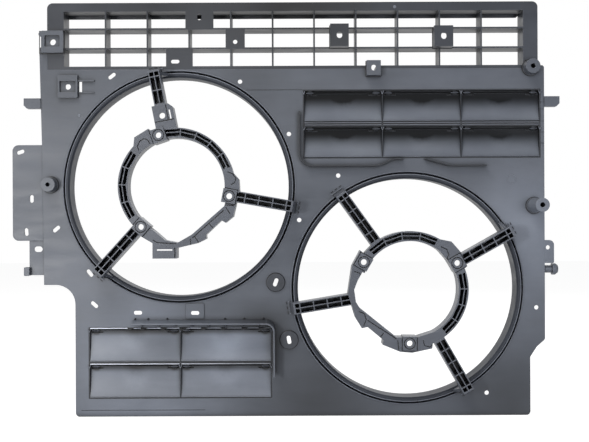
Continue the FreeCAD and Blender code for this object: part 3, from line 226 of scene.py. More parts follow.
PANEL_LIGHT_AND_SHADE = (((-150, 0, -200), 210, 0.36), ((-60, 0, -345), 190, 0.85),
               ((-40, 0, -195), 110, 0.35), ((565, 0, -70), 150, 1.0),
               ((225, 0, -352), 170, -0.6), ((135, 0, -232), 75, -0.72),
               ((450, 0, 180), 150, 0.15), ((520, 0, -200), 120, 0.25),
               ((-190, 0, 170), 90, -0.15), ((530, 0, -345), 150, -0.5),
               ((112, 0, 185), 90, -0.25))
GRILLE_LIGHT_AND_SHADE = (((-30, 0, 292), 140, -0.5), ((180, 0, 292), 180, -0.9),
                ((575, 0, 235), 90, 0.4))
LOWER_FLAP_LIGHT = (((70, 6, -250), 80, 0.6), ((-110, 6, -260), 90, 0.2))
# Painted highlight on the rails, strongest towards the lower left.
RAIL_HIGHLIGHT = (((-150, 0, -240), 330, 3.2),)


def zone_tone(zones):
    """A tone of painted light and shade: soft zones added to a brightness of 1."""
    def tone(tree, place):
        """The sum of the zones on top of 1."""
        return total(tree, [near(tree, place, *zone) for zone in zones] + [1.0])
    return tone


CLIP_IN, CLIP_DOWN, CLIP_REACH, CLIP_SHADE = 9.0, 1.5, 10, -1.3
SMUDGE = ((0, 0, 6), 24, -0.45)
CLOUDY_MIDDLE, CLOUDY_REACH = (0, 0, 17), 30
RIPPLE_MM, WANDER_MM = 7.0, 14.0
DARKEST = 0.03


def flap_tone(bank, floor, start, rise, pale_patch, zones=()):
    """A tone for one bank of flaps. floor is the brightness at the hinge, where the painted shade
    is darkest, which grows to 1 between start and rise millimetres below the top edge.
    pale_patch is how much paler the cloudy patch is, and zones are soft patches of painted light
    and shade as on the panel."""
    under = 4 if bank == "upper" else 3
    first, across, below = (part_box(f"{bank}_flap_{number}") for number in (1, 2, under))
    pitch = (across[0][0] - first[0][0], first[1][2] - below[1][2])
    half = (first[1][0] - first[0][0]) / 2

    def tone(tree, place):
        """Brightness from the place within one flap, across from its middle and down from
        its top edge, so that one pattern serves the whole bank."""
        parts = add(tree, "ShaderNodeSeparateXYZ", {0: place})
        inside = []
        for axis, corner, step, sign in ((0, first[0][0], pitch[0], 1.0),
                                         (2, first[1][2], pitch[1], -1.0)):
            shift = add(tree, "ShaderNodeMath", {0: parts.outputs[axis], 1: corner},
                        operation="SUBTRACT")
            shift = add(tree, "ShaderNodeMath", {0: shift.outputs[0], 1: sign},
                        operation="MULTIPLY")
            inside.append(add(tree, "ShaderNodeMath", {0: shift.outputs[0], 1: step},
                              operation="FLOORED_MODULO").outputs[0])
        middle = add(tree, "ShaderNodeMath", {0: inside[0], 1: half}, operation="SUBTRACT")
        spot = add(tree, "ShaderNodeCombineXYZ", {0: middle.outputs[0], 2: inside[1]}).outputs[0]
        # Painted shade round the two hinge clips.
        clips = [near(tree, spot, (side * (half / MM - CLIP_IN), 0, CLIP_DOWN), CLIP_REACH,
                      CLIP_SHADE) for side in (-1, 1)]
        ripple = add(tree, "ShaderNodeTexNoise", {"Vector": place, "Scale": 1 / (RIPPLE_MM * MM),
                                                  "Detail": 4.0, "Roughness": 0.7})
        wander = add(tree, "ShaderNodeVectorMath", {0: ripple.outputs["Color"],
                                                    1: (0.5, 0.5, 0.5)}, operation="SUBTRACT")
        wander = add(tree, "ShaderNodeVectorMath", {0: wander.outputs[0],
                                                    "Scale": WANDER_MM * MM}, operation="SCALE")
        spot = add(tree, "ShaderNodeVectorMath", {0: spot, 1: wander.outputs[0]},
                   operation="ADD").outputs[0]
        # Painted shade under the rail, darkest at the hinge.
        fall = add(tree, "ShaderNodeMapRange", {"Value": inside[1], "From Min": start * MM,
                                                "From Max": rise * MM, "To Min": floor - 1.0,
                                                "To Max": 0.0}, interpolation_type="SMOOTHERSTEP")
        smudge = near(tree, spot, *SMUDGE)
        cloud = near(tree, spot, CLOUDY_MIDDLE, CLOUDY_REACH, pale_patch)
        patches = [near(tree, place, *zone) for zone in zones]
        whole = total(tree, [fall.outputs[0], smudge, cloud, *clips, *patches, 1.0])
        return add(tree, "ShaderNodeMath", {0: whole, 1: DARKEST},
                   operation="MAXIMUM").outputs[0]
    return tone


# %% [markdown]
# ## One recipe, seven finishes
# The shroud is one melt, but no two regions show the same grey: ribs stand in their own shade,
# the carriers are smoother, and the flaps are moulded without glass fibre. A material written
# out for each would repeat the recipe seven times, so here only its colours, gloss and tone
# change.

# %% The finishes
# Spark-eroded panel: matte, mid grey, with visible clouds and zones of painted light and shade.
panel_plastic = moulded_plastic("Glass-filled polypropylene, eroded panel",
                                "#4e535c", "#646973", "#9aa0ab", tone=zone_tone(PANEL_LIGHT_AND_SHADE))
# Grille and its plates: the same melt, painted darker for the shade in its deep ribs.
grille_plastic = moulded_plastic("Glass-filled polypropylene, deep ribs",
                                 "#31343b", "#41454d", "#7b818c",
                                 tone=zone_tone(GRILLE_LIGHT_AND_SHADE))
# Carriers and struts: highly filled and glossier, with painted shade near black in the pockets.
carrier_plastic = moulded_plastic("Glass-filled polypropylene, satin carrier",
                                  "#50545d", "#686d77", "#a8adb8", rough=(0.32, 0.46))
# Flaps: unfilled polypropylene, smoother and a little paler, with painted shade towards their
# hinges.
upper_flap_plastic = moulded_plastic("Unfilled polypropylene, smooth upper flap", "#676c77",
                                     "#80868f", "#a2a7b2", rough=(0.30, 0.44), grain=0.15,
                                     turn=80.0, shine=0.15,
                                     tone=flap_tone("upper", floor=0.0, start=4.0, rise=40.0,
                                                    pale_patch=0.1))
# Lower flaps: the same plastic, with a shorter painted shade at the hinge and patches of painted
# light.
lower_flap_plastic = moulded_plastic("Unfilled polypropylene, smooth lower flap", "#6b717c",
                                     "#848a96", "#a8aeb9", rough=(0.30, 0.44), grain=0.15,
                                     turn=80.0,
                                     tone=flap_tone("lower", floor=0.1, start=1.0, rise=13.0,
                                                    pale_patch=0.3, zones=LOWER_FLAP_LIGHT))
# Frames round the flaps: the same melt as the panel, painted near black for the shade they always
# stand in.
frame_plastic = moulded_plastic("Glass-filled polypropylene, shaded frame", "#1f2126",
                                "#2d3036", "#7b818c")
# Fan rings: walls that face inwards, so they get little light and look darker than the panel.
ring_plastic = moulded_plastic("Glass-filled polypropylene, ring wall", "#383b42", "#484c54",
                               "#8d929d", shine=0.15)
FINISHES = {"moulding": panel_plastic, "grille": grille_plastic, "carrier": carrier_plastic,
            "flap": upper_flap_plastic}
# Frames, hinge rails and curved ribs take the frames' painted shade, and slot discs the grille's.
SPECIAL = {"lower_flap_frame": frame_plastic, "upper_flap_frame": frame_plastic,
           "upper_frame_post": frame_plastic, "upper_hinge_rail": frame_plastic,
           "lower_hinge_rail": frame_plastic, "lower_flap_": lower_flap_plastic,
           "slot_disc": grille_plastic, "fan_ring": ring_plastic,
           "curved_rib": frame_plastic}
print("finishes", len(set(FINISHES.values()) | set(SPECIAL.values())))

# %% [markdown]
# ## Finishes on the CAD parts
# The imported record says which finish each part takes. Reading it here keeps the look and the
# record in step, so nobody has to repeat the list of parts. A few parts whose names begin
# alike, such as the flap frames, take a special finish instead.

# %% Give each CAD part its finish
for row in frame["record"]["subparts"]:
    part = frame["nodes"][row["node"]]
    part.data.materials.clear()
    special = [finish for prefix, finish in SPECIAL.items() if row["node"].startswith(prefix)]
    part.data.materials.append(special[0] if special else FINISHES[row["material_slot"]])

# %% [markdown]
# ## Details grown from points and lines
# Many small details repeat at a list of places or follow a line: beads round the fan openings,
# fold lines scored in the carriers, forks on the flap posts, lips and ribs. Modelling each one
# by hand would take long and would drift, so each kind has one Geometry Nodes tree. Its seed
# is a bare mesh of points and edges, and its named inputs are the real sizes. The result is
# kept as a plain mesh, because an exporter drops instances and live modifiers.

# %% Helpers for grown pieces
def seed_mesh(name, lines):
    """Points joined into lines, given in millimetres. A line that ends where it began is
    closed, and a line of one point is just that point."""
    points, edges = [], []
    for line in lines:
        closed = len(line) > 2 and line[0] == line[-1]
        run = line[:-1] if closed else line
        start = len(points)
        points += [[value * MM for value in point] for point in run]
        edges += [(start + step, start + step + 1) for step in range(len(run) - 1)]
        if closed:
            edges.append((start + len(run) - 1, start))
    mesh = bpy.data.meshes.new(name)
    mesh.from_pydata(points, edges, [])
    return mesh


def new_tree(name, sizes):
    """A Geometry Nodes tree with one named input for each size, and its input sockets."""
    tree = bpy.data.node_groups.new(name, "GeometryNodeTree")
    tree.interface.new_socket("Geometry", in_out="INPUT", socket_type="NodeSocketGeometry")
    for label in sizes:
        tree.interface.new_socket(label, in_out="INPUT", socket_type="NodeSocketFloat")
    tree.interface.new_socket("Geometry", in_out="OUTPUT", socket_type="NodeSocketGeometry")
    return tree, add(tree, "NodeGroupInput").outputs


def close_tree(tree, shape, material, only=None):
    """Ends a tree: instances become real, and the shape takes its material. only may choose
    the faces that take it."""
    real = add(tree, "GeometryNodeRealizeInstances", {0: shape}).outputs[0]
    chosen = {} if only is None else {"Selection": only}
    painted = add(tree, "GeometryNodeSetMaterial", {"Geometry": real, "Material": material,
                                                    **chosen})
    add(tree, "NodeGroupOutput", {0: painted.outputs[0]})


def grow(name, seed, tree, sizes, body="shroud"):
    """Runs a tree on a seed mesh and keeps the result as a plain piece. Sizes are in
    millimetres."""
    holder = bpy.data.objects.new(name + "_seed", seed)
    bpy.context.scene.collection.objects.link(holder)
    modifier = holder.modifiers.new("grow", "NODES")
    modifier.node_group = tree
    for item in tree.interface.items_tree:
        if item.in_out == "INPUT" and item.name in sizes:
            modifier[item.identifier] = sizes[item.name] * MM
    shown = holder.evaluated_get(bpy.context.evaluated_depsgraph_get())
    mesh = bpy.data.meshes.new_from_object(shown)
    mesh.name = name
    bpy.data.objects.remove(holder)
    piece = bpy.data.objects.new(name, mesh)
    bpy.context.scene.collection.objects.link(piece)
    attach(piece, body)
    print(name, "faces", len(mesh.polygons))
    return piece


# %% [markdown]
# ## Painted highlights on edges
# Where a moulding's corner is rounded, it catches the light. On the real shroud this shows as
# thin light lines: the lip of each fan opening, the rim of the panel round it, the gutter's
# front edge and the rails over the flaps. They are painted here as highlights, beads with a
# lighter finish of their own. One tree sweeps a round bead along any line, and another sets a
# ring on each point.

# %% Painted highlight finishes
# Edges: the pale grey of a painted highlight.
highlight_plastic = moulded_plastic("Glass-filled polypropylene, painted edge highlight", "#757a85", "#8d929d",
                               "#b4b9c2", grain=0.2, corner_shade=0.6, shine=0.15)
# Rails: a paler and glossier painted highlight, stronger towards the lower left.
rail_highlight_plastic = moulded_plastic("Glass-filled polypropylene, painted rail highlight", "#787c85",
                               "#8d919a", "#a0a4ac", rough=(0.22, 0.34), grain=0.1, corner_shade=0.1,
                               tone=zone_tone(RAIL_HIGHLIGHT))

# %% Sweep tree and ring tree
BEAD_SIDES = 8
FINE_SIDES = 6
RING_STEPS = 144


def swept(tree, line, radius, sides=BEAD_SIDES):
    """Sweeps a round section along a curve, with closed ends."""
    section = add(tree, "GeometryNodeCurvePrimitiveCircle", {"Resolution": sides,
                                                             "Radius": radius})
    return add(tree, "GeometryNodeCurveToMesh", {"Curve": line, "Profile Curve":
                                                 section.outputs["Curve"],
                                                 "Fill Caps": True}).outputs[0]


def bead_tree(name, material):
    """Round beads along the seed's lines."""
    tree, given = new_tree(name, ["Bead radius"])
    line = add(tree, "GeometryNodeMeshToCurve", {0: given[0]}).outputs[0]
    close_tree(tree, swept(tree, line, given["Bead radius"]), material)
    return tree


def ring_tree(name, material):
    """A round bead bent into a ring that faces the viewer, on each point of the seed."""
    tree, given = new_tree(name, ["Ring radius", "Bead radius"])
    loop = add(tree, "GeometryNodeCurvePrimitiveCircle", {"Resolution": RING_STEPS,
                                                          "Radius": given["Ring radius"]})
    bead = swept(tree, loop.outputs["Curve"], given["Bead radius"])
    upright = add(tree, "GeometryNodeTransform", {"Geometry": bead, "Rotation":
                                                  (math.radians(90), 0.0, 0.0)}).outputs[0]
    placed = add(tree, "GeometryNodeInstanceOnPoints", {"Points": given[0],
                                                        "Instance": upright}).outputs[0]
    close_tree(tree, placed, material)
    return tree


highlight_beads = bead_tree("beads along edges", highlight_plastic)
rail_highlight_beads = bead_tree("beads along rails", rail_highlight_plastic)
highlight_rings = ring_tree("ring on each point", highlight_plastic)

# %% Rings round the fan openings
FANS = [(mount["pos_m"][0] / MM, mount["pos_m"][2] / MM) for mount in frame["record"]["mounts"]
        if mount["name"].endswith("_fan_bore")]


def on_points(places, depth):
    """Seed lines of one point each, from places across and up, all at one depth."""
    return [[(x, depth, z)] for x, z in places]


LIP_RING, LIP_FRONT = 181.3, -2.7
RIM_RING, RIM_FRONT = 186.0, 0.1
RING_BEAD = 0.8
# Pale beads on the fans' lip and rim: painted highlights on the rounded edges.
grow("fan_lip_beads", seed_mesh("lip centres", on_points(FANS, LIP_FRONT)), highlight_rings,
     {"Ring radius": LIP_RING, "Bead radius": RING_BEAD})
grow("fan_rim_beads", seed_mesh("rim centres", on_points(FANS, RIM_FRONT)), highlight_rings,
     {"Ring radius": RIM_RING, "Bead radius": RING_BEAD})

# %% [markdown]
# ## Lips along the gutter and over the flaps
# The gutter's front edge runs level, turns down in a quarter circle and follows its drop. The
# rails over the flaps are straight. A bevel on the CAD edges could show them too, but their
# painted highlight is paler than the walls they sit on, so each is a bead of its own with the
# highlight finish.

# %% Lip of the gutter
GUTTER_FRONT, GUTTER_EDGE, GUTTER_TURN = -24.3, -217.6, 13.0
DROP_INSET, DROP_SHORT = 1.5, 1.0
gutter_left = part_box("water_gutter")[0][0] / MM
drop_low, drop_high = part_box("gutter_drop")
drop_x = drop_high[0] / MM - DROP_INSET
bend = [(drop_x - GUTTER_TURN + GUTTER_TURN * math.sin(angle), GUTTER_FRONT,
         GUTTER_EDGE - GUTTER_TURN + GUTTER_TURN * math.cos(angle))
        for angle in (math.radians(degrees) for degrees in range(0, 91, 15))]
gutter_line = ([(gutter_left, GUTTER_FRONT, GUTTER_EDGE)] + bend
               + [(drop_x, GUTTER_FRONT, drop_low[2] / MM + DROP_SHORT)])
# The gutter's lip is a bead with a painted highlight.
grow("gutter_lip", seed_mesh("gutter edge", [gutter_line]), highlight_beads, {"Bead radius": 0.9})

# %% Lips of the rails and beams
RAIL_FRONT, RAIL_INSET = -0.9, 0.6
LOWER_RAILS = ((1, 2.5), (2, 2.5), (3, 2.9), (4, 2.9))   # flap, height above its top edge
UPPER_BEAMS = (4.6, 8.0)


def rail_over(flap, above):
    """The line of the rail over one flap."""
    low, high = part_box(flap)
    height = high[2] / MM + above
    return [(low[0] / MM + RAIL_INSET, RAIL_FRONT, height),
            (high[0] / MM - RAIL_INSET, RAIL_FRONT, height)]


rails = [rail_over(f"lower_flap_{number}", above) for number, above in LOWER_RAILS]
# The rails' pale lips are painted highlights.
grow("lower_rail_lips", seed_mesh("lower rails", rails), rail_highlight_beads, {"Bead radius": 0.85})
# The beams over the upper flaps get beads with a painted highlight too.
beams = [rail_over(f"upper_flap_{number}", above) for number in (4, 5, 6)
         for above in UPPER_BEAMS]
grow("upper_beam_lips", seed_mesh("upper beams", beams), highlight_beads, {"Bead radius": 0.6})

# %% [markdown]
# ## Scored carriers
# The motor carriers' flat faces are made of plates at slightly different levels, and each step
# shows as a fine dark line. The CAD part stays as it is, because such lines would cost it many
# faces. Instead a copy of its mesh takes its place, with shallow grooves cut in. The lines lie
# on the front face and are swept to round cutters, which the Mesh Boolean node takes away. A
# cut face keeps the cutter's material, so the grooves take its near-black painted shade.

# %% Groove lines in millimetres from each fan's centre
CARRIER_FRONT, PAD_FRONT = -43.0, -44.5
BOLT_REACH, PAD_HALF, COLLAR = 84.0, 11.7, 8.6
LEFT_BOLT, RIGHT_BOLT, BOLT_STEP = 109.0, 149.2, 120   # degrees
LEFT_SCORES = (
    ((80.1, 22.0), (88.6, 18.4), (93.3, 11.6), (91.2, 5.1), (85.3, 1.5)),
    ((76.4, -29.9), (89.9, -30.9)), ((77.5, -33.5), (84.2, -43.9)),
    ((73.8, -38.2), (49.5, -59.6), (25.1, -81.0)), ((51.0, -59.0), (57.5, -65.4)),
    ((28.4, -78.4), (36.0, -89.6)), ((22.0, -82.3), (22.5, -92.2)),
    ((-57.5, 55.7), (-60.1, 61.7), (-56.7, 69.5), (-50.2, 73.9), (-43.7, 72.1), (-40.3, 66.1)),
    ((-36.5, -84.0), (-30.0, -88.0), (0.0, -90.0)))
RIGHT_SCORES = (
    ((47.7, 66.5), (57.0, 62.4), (60.1, 54.1), (57.0, 46.8)),
    ((-87.3, 28.6), (-79.0, 26.0), (-75.9, 18.2), (-80.5, 7.9)),
    ((-80.5, -33.7), (-71.7, -37.3), (-68.6, -46.6), (-72.7, -56.0)),
    ((-66.5, -47.7), (-44.2, -62.2), (-21.9, -76.7)), ((-41.6, -67.4), (-47.8, -75.2)),
    ((-19.8, -78.8), (-18.2, -94.4)),
    ((19.6, -78.8), (21.7, -87.1), (30.0, -89.7), (37.3, -84.0)))


def beside(fan, angle, reach, across, depth):
    """A point at a reach from a fan's centre, in the direction of an angle in degrees, and
    across that direction to its left."""
    out = (math.cos(math.radians(angle)), math.sin(math.radians(angle)))
    return (fan[0] + out[0] * reach - out[1] * across, depth,
            fan[1] + out[1] * reach + out[0] * across)


def bolt_lines(fan, first_angle):
    """A square round each bolt pad and a collar circle round its hole."""
    lines = []
    for angle in (first_angle + BOLT_STEP * bolt for bolt in range(3)):
        square = [beside(fan, angle, BOLT_REACH + PAD_HALF * out, PAD_HALF * side,
                         CARRIER_FRONT) for out, side in ((-1, -1), (1, -1), (1, 1), (-1, 1))]
        lines.append(square + square[:1])
        circle = [beside(fan, angle, BOLT_REACH + COLLAR * math.cos(math.radians(degrees)),
                         COLLAR * math.sin(math.radians(degrees)), PAD_FRONT)
                  for degrees in range(0, 360, 15)]
        lines.append(circle + circle[:1])
    return lines


def face_lines(fan, scores):
    """Lines on the front face, from places across and up from a fan's centre."""
    return [[(fan[0] + x, CARRIER_FRONT, fan[1] + z) for x, z in line] for line in scores]


# %% Scoring tree
# A near-black finish of painted shade, for grooves, hollows and shadows.
shade_plastic = moulded_plastic("Glass-filled polypropylene, painted groove shade", "#17181b", "#222327",
                              "#2b2d31", grain=0.2)


def scoring_tree(name, lines):
    """Cuts round grooves along another object's lines into the seed."""
    tree, given = new_tree(name, ["Groove radius"])
    solid = add(tree, "GeometryNodeMergeByDistance", {0: given[0], "Distance": 0.002 * MM})
    solid = add(tree, "GeometryNodeSetMaterial", {"Geometry": solid.outputs[0],
                                                  "Material": carrier_plastic})
    source = add(tree, "GeometryNodeObjectInfo", {"Object": lines})
    path = add(tree, "GeometryNodeMeshToCurve", {0: source.outputs["Geometry"]})
    cutters = swept(tree, path.outputs[0], given["Groove radius"], FINE_SIDES)
    # The cutters carry the painted shade, which the cut faces keep.
    cutters = add(tree, "GeometryNodeSetMaterial", {"Geometry": cutters,
                                                    "Material": shade_plastic})
    cut = add(tree, "GeometryNodeMeshBoolean", {0: solid.outputs[0], 1: cutters.outputs[0],
                                                "Self Intersection": True},
              operation="DIFFERENCE", solver="EXACT")
    kept = add(tree, "GeometryNodeMaterialSelection", {"Material": carrier_plastic})
    close_tree(tree, cut.outputs[0], carrier_plastic, kept.outputs[0])
    return tree


# %% Scored copies of the carriers, the strut block and the clip under the left carrier
BLOCK_ANGLE = 101.0
BLOCK_SCORES = (((127.5, -8.5), (103.5, -8.5)), ((103.5, -17.5), (103.5, 13.0)))
CLIP_SCORES = (((-2.2, -111.5), (-2.2, -90.5)),)
left_lines = face_lines(FANS[0], LEFT_SCORES) + bolt_lines(FANS[0], LEFT_BOLT)
right_lines = face_lines(FANS[1], RIGHT_SCORES) + bolt_lines(FANS[1], RIGHT_BOLT)
block_lines = [[beside(FANS[0], BLOCK_ANGLE, reach, across, CARRIER_FRONT)
                for reach, across in line] for line in BLOCK_SCORES]
for node, lines in (("motor_carrier_left", left_lines), ("motor_carrier_right", right_lines),
                    ("strut_block", block_lines),
                    ("under_clip", face_lines(FANS[0], CLIP_SCORES))):
    path = bpy.data.objects.new("score lines", seed_mesh("score lines", lines))
    bpy.context.scene.collection.objects.link(path)
    scored = grow(f"scored_{node}", frame["nodes"][node].data.copy(),
                  scoring_tree(f"scoring {node}", path), {"Groove radius": 0.95})
    bpy.data.objects.remove(path)
    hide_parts(node)

# %% [markdown]
# ## Forks, lugs and marks
# Each post between two flaps ends in a small fork that keeps the rods apart. Small lugs stand
# above the gutter, and shallow domes mark where the mould's ejector pins pushed. The forks
# and domes take the pale finish of painted highlights, the lugs the near-black one of painted
# shade. They all repeat, so points carry them: the tree sets one copy on each point and makes
# it real.

# %% Fork tree, dome tree and dark beads
def on_each_point(tree, points, shape, material):
    """Copies a shape to each point and ends the tree."""
    placed = add(tree, "GeometryNodeInstanceOnPoints", {"Points": points, "Instance": shape})
    close_tree(tree, placed.outputs[0], material)
    return tree


def fork_tree(name, material):
    """Two prongs that spread upwards from one foot."""
    tree, given = new_tree(name, ["Half spread", "Height", "Prong radius"])
    prongs = add(tree, "GeometryNodeJoinGeometry")
    for sign in (-1.0, 1.0):
        across = add(tree, "ShaderNodeMath", {0: given["Half spread"], 1: sign},
                     operation="MULTIPLY")
        tip = add(tree, "ShaderNodeCombineXYZ", {0: across.outputs[0], 2: given["Height"]})
        line = add(tree, "GeometryNodeCurvePrimitiveLine", {"End": tip.outputs[0]})
        prong = swept(tree, line.outputs[0], given["Prong radius"], FINE_SIDES)
        tree.links.new(prong, prongs.inputs[0])
    return on_each_point(tree, given[0], prongs.outputs[0], material)


def dome_tree(name, material):
    """A shallow dome that faces the viewer."""
    tree, given = new_tree(name, ["Dome radius", "Dome height"])
    ball = add(tree, "GeometryNodeMeshUVSphere", {"Segments": 16, "Rings": 8, "Radius": 1.0})
    size = add(tree, "ShaderNodeCombineXYZ", {0: given["Dome radius"], 1: given["Dome height"],
                                              2: given["Dome radius"]})
    dome = add(tree, "GeometryNodeTransform", {"Geometry": ball.outputs[0],
                                               "Scale": size.outputs[0]})
    return on_each_point(tree, given[0], dome.outputs[0], material)


# Beads in the painted shade finish.
shade_beads = bead_tree("dark beads", shade_plastic)

# %% Forks at the heads of the flap posts
POST_HALF, FORK_FRONT, FORK_DOWN = 1.0, -0.7, 3.8
fork_points = []
for bank, columns in (("upper", 3), ("lower", 2)):
    for row in range(2):
        for column in range(columns + 1):
            number = row * columns + min(column, columns - 1) + 1
            low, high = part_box(f"{bank}_flap_{number}")
            post = (high[0] / MM + POST_HALF if column == columns
                    else low[0] / MM - POST_HALF)
            fork_points.append([(post, FORK_FRONT, high[2] / MM - FORK_DOWN)])
# The forks are pale with a painted highlight.
grow("post_forks", seed_mesh("post heads", fork_points),
     fork_tree("fork on each post", highlight_plastic),
     {"Half spread": 2.2, "Height": 5.2, "Prong radius": 0.6})

# %% Lugs over the gutter, ejector marks and steps in the panel
LUG_HEIGHT = -210.8
LUGS = [(x, LUG_HEIGHT) for x in (-71.3, -50.3, -19.9, 72.6, 103.4, 134.1)]
MARKS = ((-159.4, 115.2), (345.8, 286.9))
RING_MARK = (531.6, 10.4)
STEPS = ([[(108.0, 0, 154.7), (197.7, 0, 154.7)], [(-158.0, 0, -356.8), (40.0, 0, -356.8)]]
         + [[(575.0, 0, z), (584.0, 0, z)] for z in (133.6, 122.4, 103.2, 85.6, 68.0)])
# Dark lugs in painted shade; pale ejector domes and ring with a painted highlight.
grow("gutter_lugs", seed_mesh("lug places", on_points(LUGS, 0)),
     dome_tree("dark dome on each point", shade_plastic),
     {"Dome radius": 1.5, "Dome height": 2.5})
grow("ejector_marks", seed_mesh("mark places", on_points(MARKS, 0)),
     dome_tree("pale dome on each point", highlight_plastic),
     {"Dome radius": 2.4, "Dome height": 0.35})
grow("ejector_ring", seed_mesh("ring place", on_points([RING_MARK], 0)), highlight_rings,
     {"Ring radius": 7.2, "Bead radius": 0.35})
# Steps in the panel, drawn as thin lines of painted shade.
grow("panel_steps", seed_mesh("step lines", STEPS), shade_beads, {"Bead radius": 0.35})

# %% [markdown]
# ## Painted shade at the feet
# Where a bracket, boss or disc stands on the panel, shade fills the corner and draws a dark
# outline. The material already paints shade in corners, but over a wide and soft band. A thin
# dark bead round each foot paints the crisp line of shade, and its place is read from the
# part's own box.

# %% Painted shade lines at the feet of brackets and discs
SHADE_OUT = 0.3


def foot_square(node):
    """A closed line round the foot of a node, on the panel's face."""
    (left, _, low), (right, _, high) = [[value / MM for value in corner]
                                        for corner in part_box(node)]
    return [(x, 0, z) for x, z in (
        (left - SHADE_OUT, low - SHADE_OUT), (right + SHADE_OUT, low - SHADE_OUT),
        (right + SHADE_OUT, high + SHADE_OUT), (left - SHADE_OUT, high + SHADE_OUT),
        (left - SHADE_OUT, low - SHADE_OUT))]


def foot_circle(node):
    """A closed circle round the foot of a round node."""
    low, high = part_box(node)
    x, z = (low[0] + high[0]) / 2 / MM, (low[2] + high[2]) / 2 / MM
    radius = (high[0] - low[0]) / 2 / MM + SHADE_OUT
    circle = [(x + radius * math.cos(math.radians(degrees)), 0,
               z + radius * math.sin(math.radians(degrees))) for degrees in range(0, 360, 10)]
    return circle + circle[:1]


foot_shade_lines = ([foot_square(node) for node in ("box_bracket_left", "box_bracket_low",
                                         "box_bracket_right", "corner_bracket")]
         + [foot_circle(node) for node in ("slot_disc_upper", "slot_disc_lower", "boss_left",
                                           "boss_right", "boss_top_right")])
grow("foot_seams", seed_mesh("foot shade lines", foot_shade_lines), shade_beads, {"Bead radius": 1.0})

# %% [markdown]
# ## Shadows under the gutter
# Gussets hold the gutter up, and light from the left makes each one cast a small shadow on
# the rail below. Each is painted as a thin dark wedge, full height on its left and running out
# to the right. A wedge modelled by hand would need eight copies, so one cone is set on eight
# points.

# %% Painted shadow wedges
WEDGE_TILT = -11.0   # degrees
SHADOW_FRONT, SHADOW_HEIGHT = -19.0, -225.4
GUSSET_SHADOWS = [(x, SHADOW_HEIGHT) for x in (-80.0, -59.5, -27.5, 3.5, 36.0, 68.0, 100.0, 127.0)]


def wedge_tree(name, material):
    """A spike on each point, thick on its left and running out to the right."""
    tree, given = new_tree(name, ["Length", "Half height"])
    spike = add(tree, "GeometryNodeMeshCone", {"Vertices": 8, "Radius Top": 0.1 * MM,
                                               "Radius Bottom": given["Half height"],
                                               "Depth": given["Length"]})
    lying = add(tree, "GeometryNodeTransform", {"Geometry": spike.outputs[0], "Rotation":
                                                (0.0, math.radians(90 + WEDGE_TILT), 0.0)})
    return on_each_point(tree, given[0], lying.outputs[0], material)


# The wedges are painted shadows in the near-black finish.
grow("gutter_pockets", seed_mesh("shadow places", on_points(GUSSET_SHADOWS, SHADOW_FRONT)),
     wedge_tree("wedge on each point", shade_plastic), {"Length": 11.0, "Half height": 2.5})

# %% [markdown]
# ## Backs of the hinges and tips of the struts
# Behind each hinge rod the frame closes with a dark web, so no daylight shows between the rod
# and its post; the web's near-black colour is painted shade. In front of it the clip's lip
# catches the light, painted as a pale highlight. Where a strut meets the panel, its end face
# shows as a pale line of painted highlight, and three sink marks lie beyond it, drawn as dark
# lines of painted shade. All of them are beads along short lines, so the same trees make them.

# %% Hinge webs and clip lips
WEB_DEPTH, WEB_LONG, WEB_OUT, WEB_DOWN = 11.3, 21.0, 0.5, (1.5, 6.0)
CATCH_DEPTH, CATCH_START, CATCH_END, CATCH_DOWN = 3.4, 3.0, 14.5, 1.5
webs, lips = [], []
for name in frame["nodes"]:
    if name.startswith(("upper_flap_", "lower_flap_")) and name[-1].isdigit():
        (left, _, _), (right, _, top) = [[value / MM for value in corner]
                                         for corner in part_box(name)]
        rod = top - CATCH_DOWN
        lips += [[(left + CATCH_START, CATCH_DEPTH, rod), (left + CATCH_END, CATCH_DEPTH, rod)],
                 [(right - CATCH_END, CATCH_DEPTH, rod),
                  (right - CATCH_START, CATCH_DEPTH, rod)]]
        for height in (top - down for down in WEB_DOWN):
            webs += [[(left - WEB_OUT, WEB_DEPTH, height), (left + WEB_LONG, WEB_DEPTH, height)],
                     [(right - WEB_LONG, WEB_DEPTH, height),
                      (right + WEB_OUT, WEB_DEPTH, height)]]
# Dark webs of painted shade behind the hinge rods.
grow("hinge_webs", seed_mesh("web lines", webs), shade_beads, {"Bead radius": 2.6})
# Pale clip lips: painted highlights.
grow("hinge_clip_lips", seed_mesh("clip lips", lips), highlight_beads, {"Bead radius": 0.6})

# %% Strut tips and sink marks
STRUTS = ((FANS[0], (101.0, 227.6, -10.2)), (FANS[1], (125.7, 189.3, -60.2, 29.2)))
TIP_REACH, TIP_HALF = 191.0, 11.0
SINK_REACH, SINK_HALF, SINK_MIDDLES = 194.5, 2.2, (-8.0, 0.0, 8.0)
tips, sinks = [], []
for fan, angles in STRUTS:
    for angle in angles:
        tips.append([beside(fan, angle, TIP_REACH, side, 0.0) for side in (-TIP_HALF, TIP_HALF)])
        sinks += [[beside(fan, angle, SINK_REACH, middle + side, 0.0)
                   for side in (-SINK_HALF, SINK_HALF)] for middle in SINK_MIDDLES]
# Pale strut tips: painted highlights.
grow("strut_tip_lines", seed_mesh("tip lines", tips), highlight_beads, {"Bead radius": 0.7})
# Dark sink marks: painted shade.
grow("strut_sink_marks", seed_mesh("sink marks", sinks), shade_beads, {"Bead radius": 0.6})

# %% [markdown]
# ## Pale floor
# A catalogue photograph has a pale sweep under and behind the object. The floor here is a
# plain sheet at the shroud's foot. Seen directly, or in a gloss, it is lifted to white, but it
# still takes the shroud's soft shadow. A plain white floor would throw far more light back up
# than a studio's does.

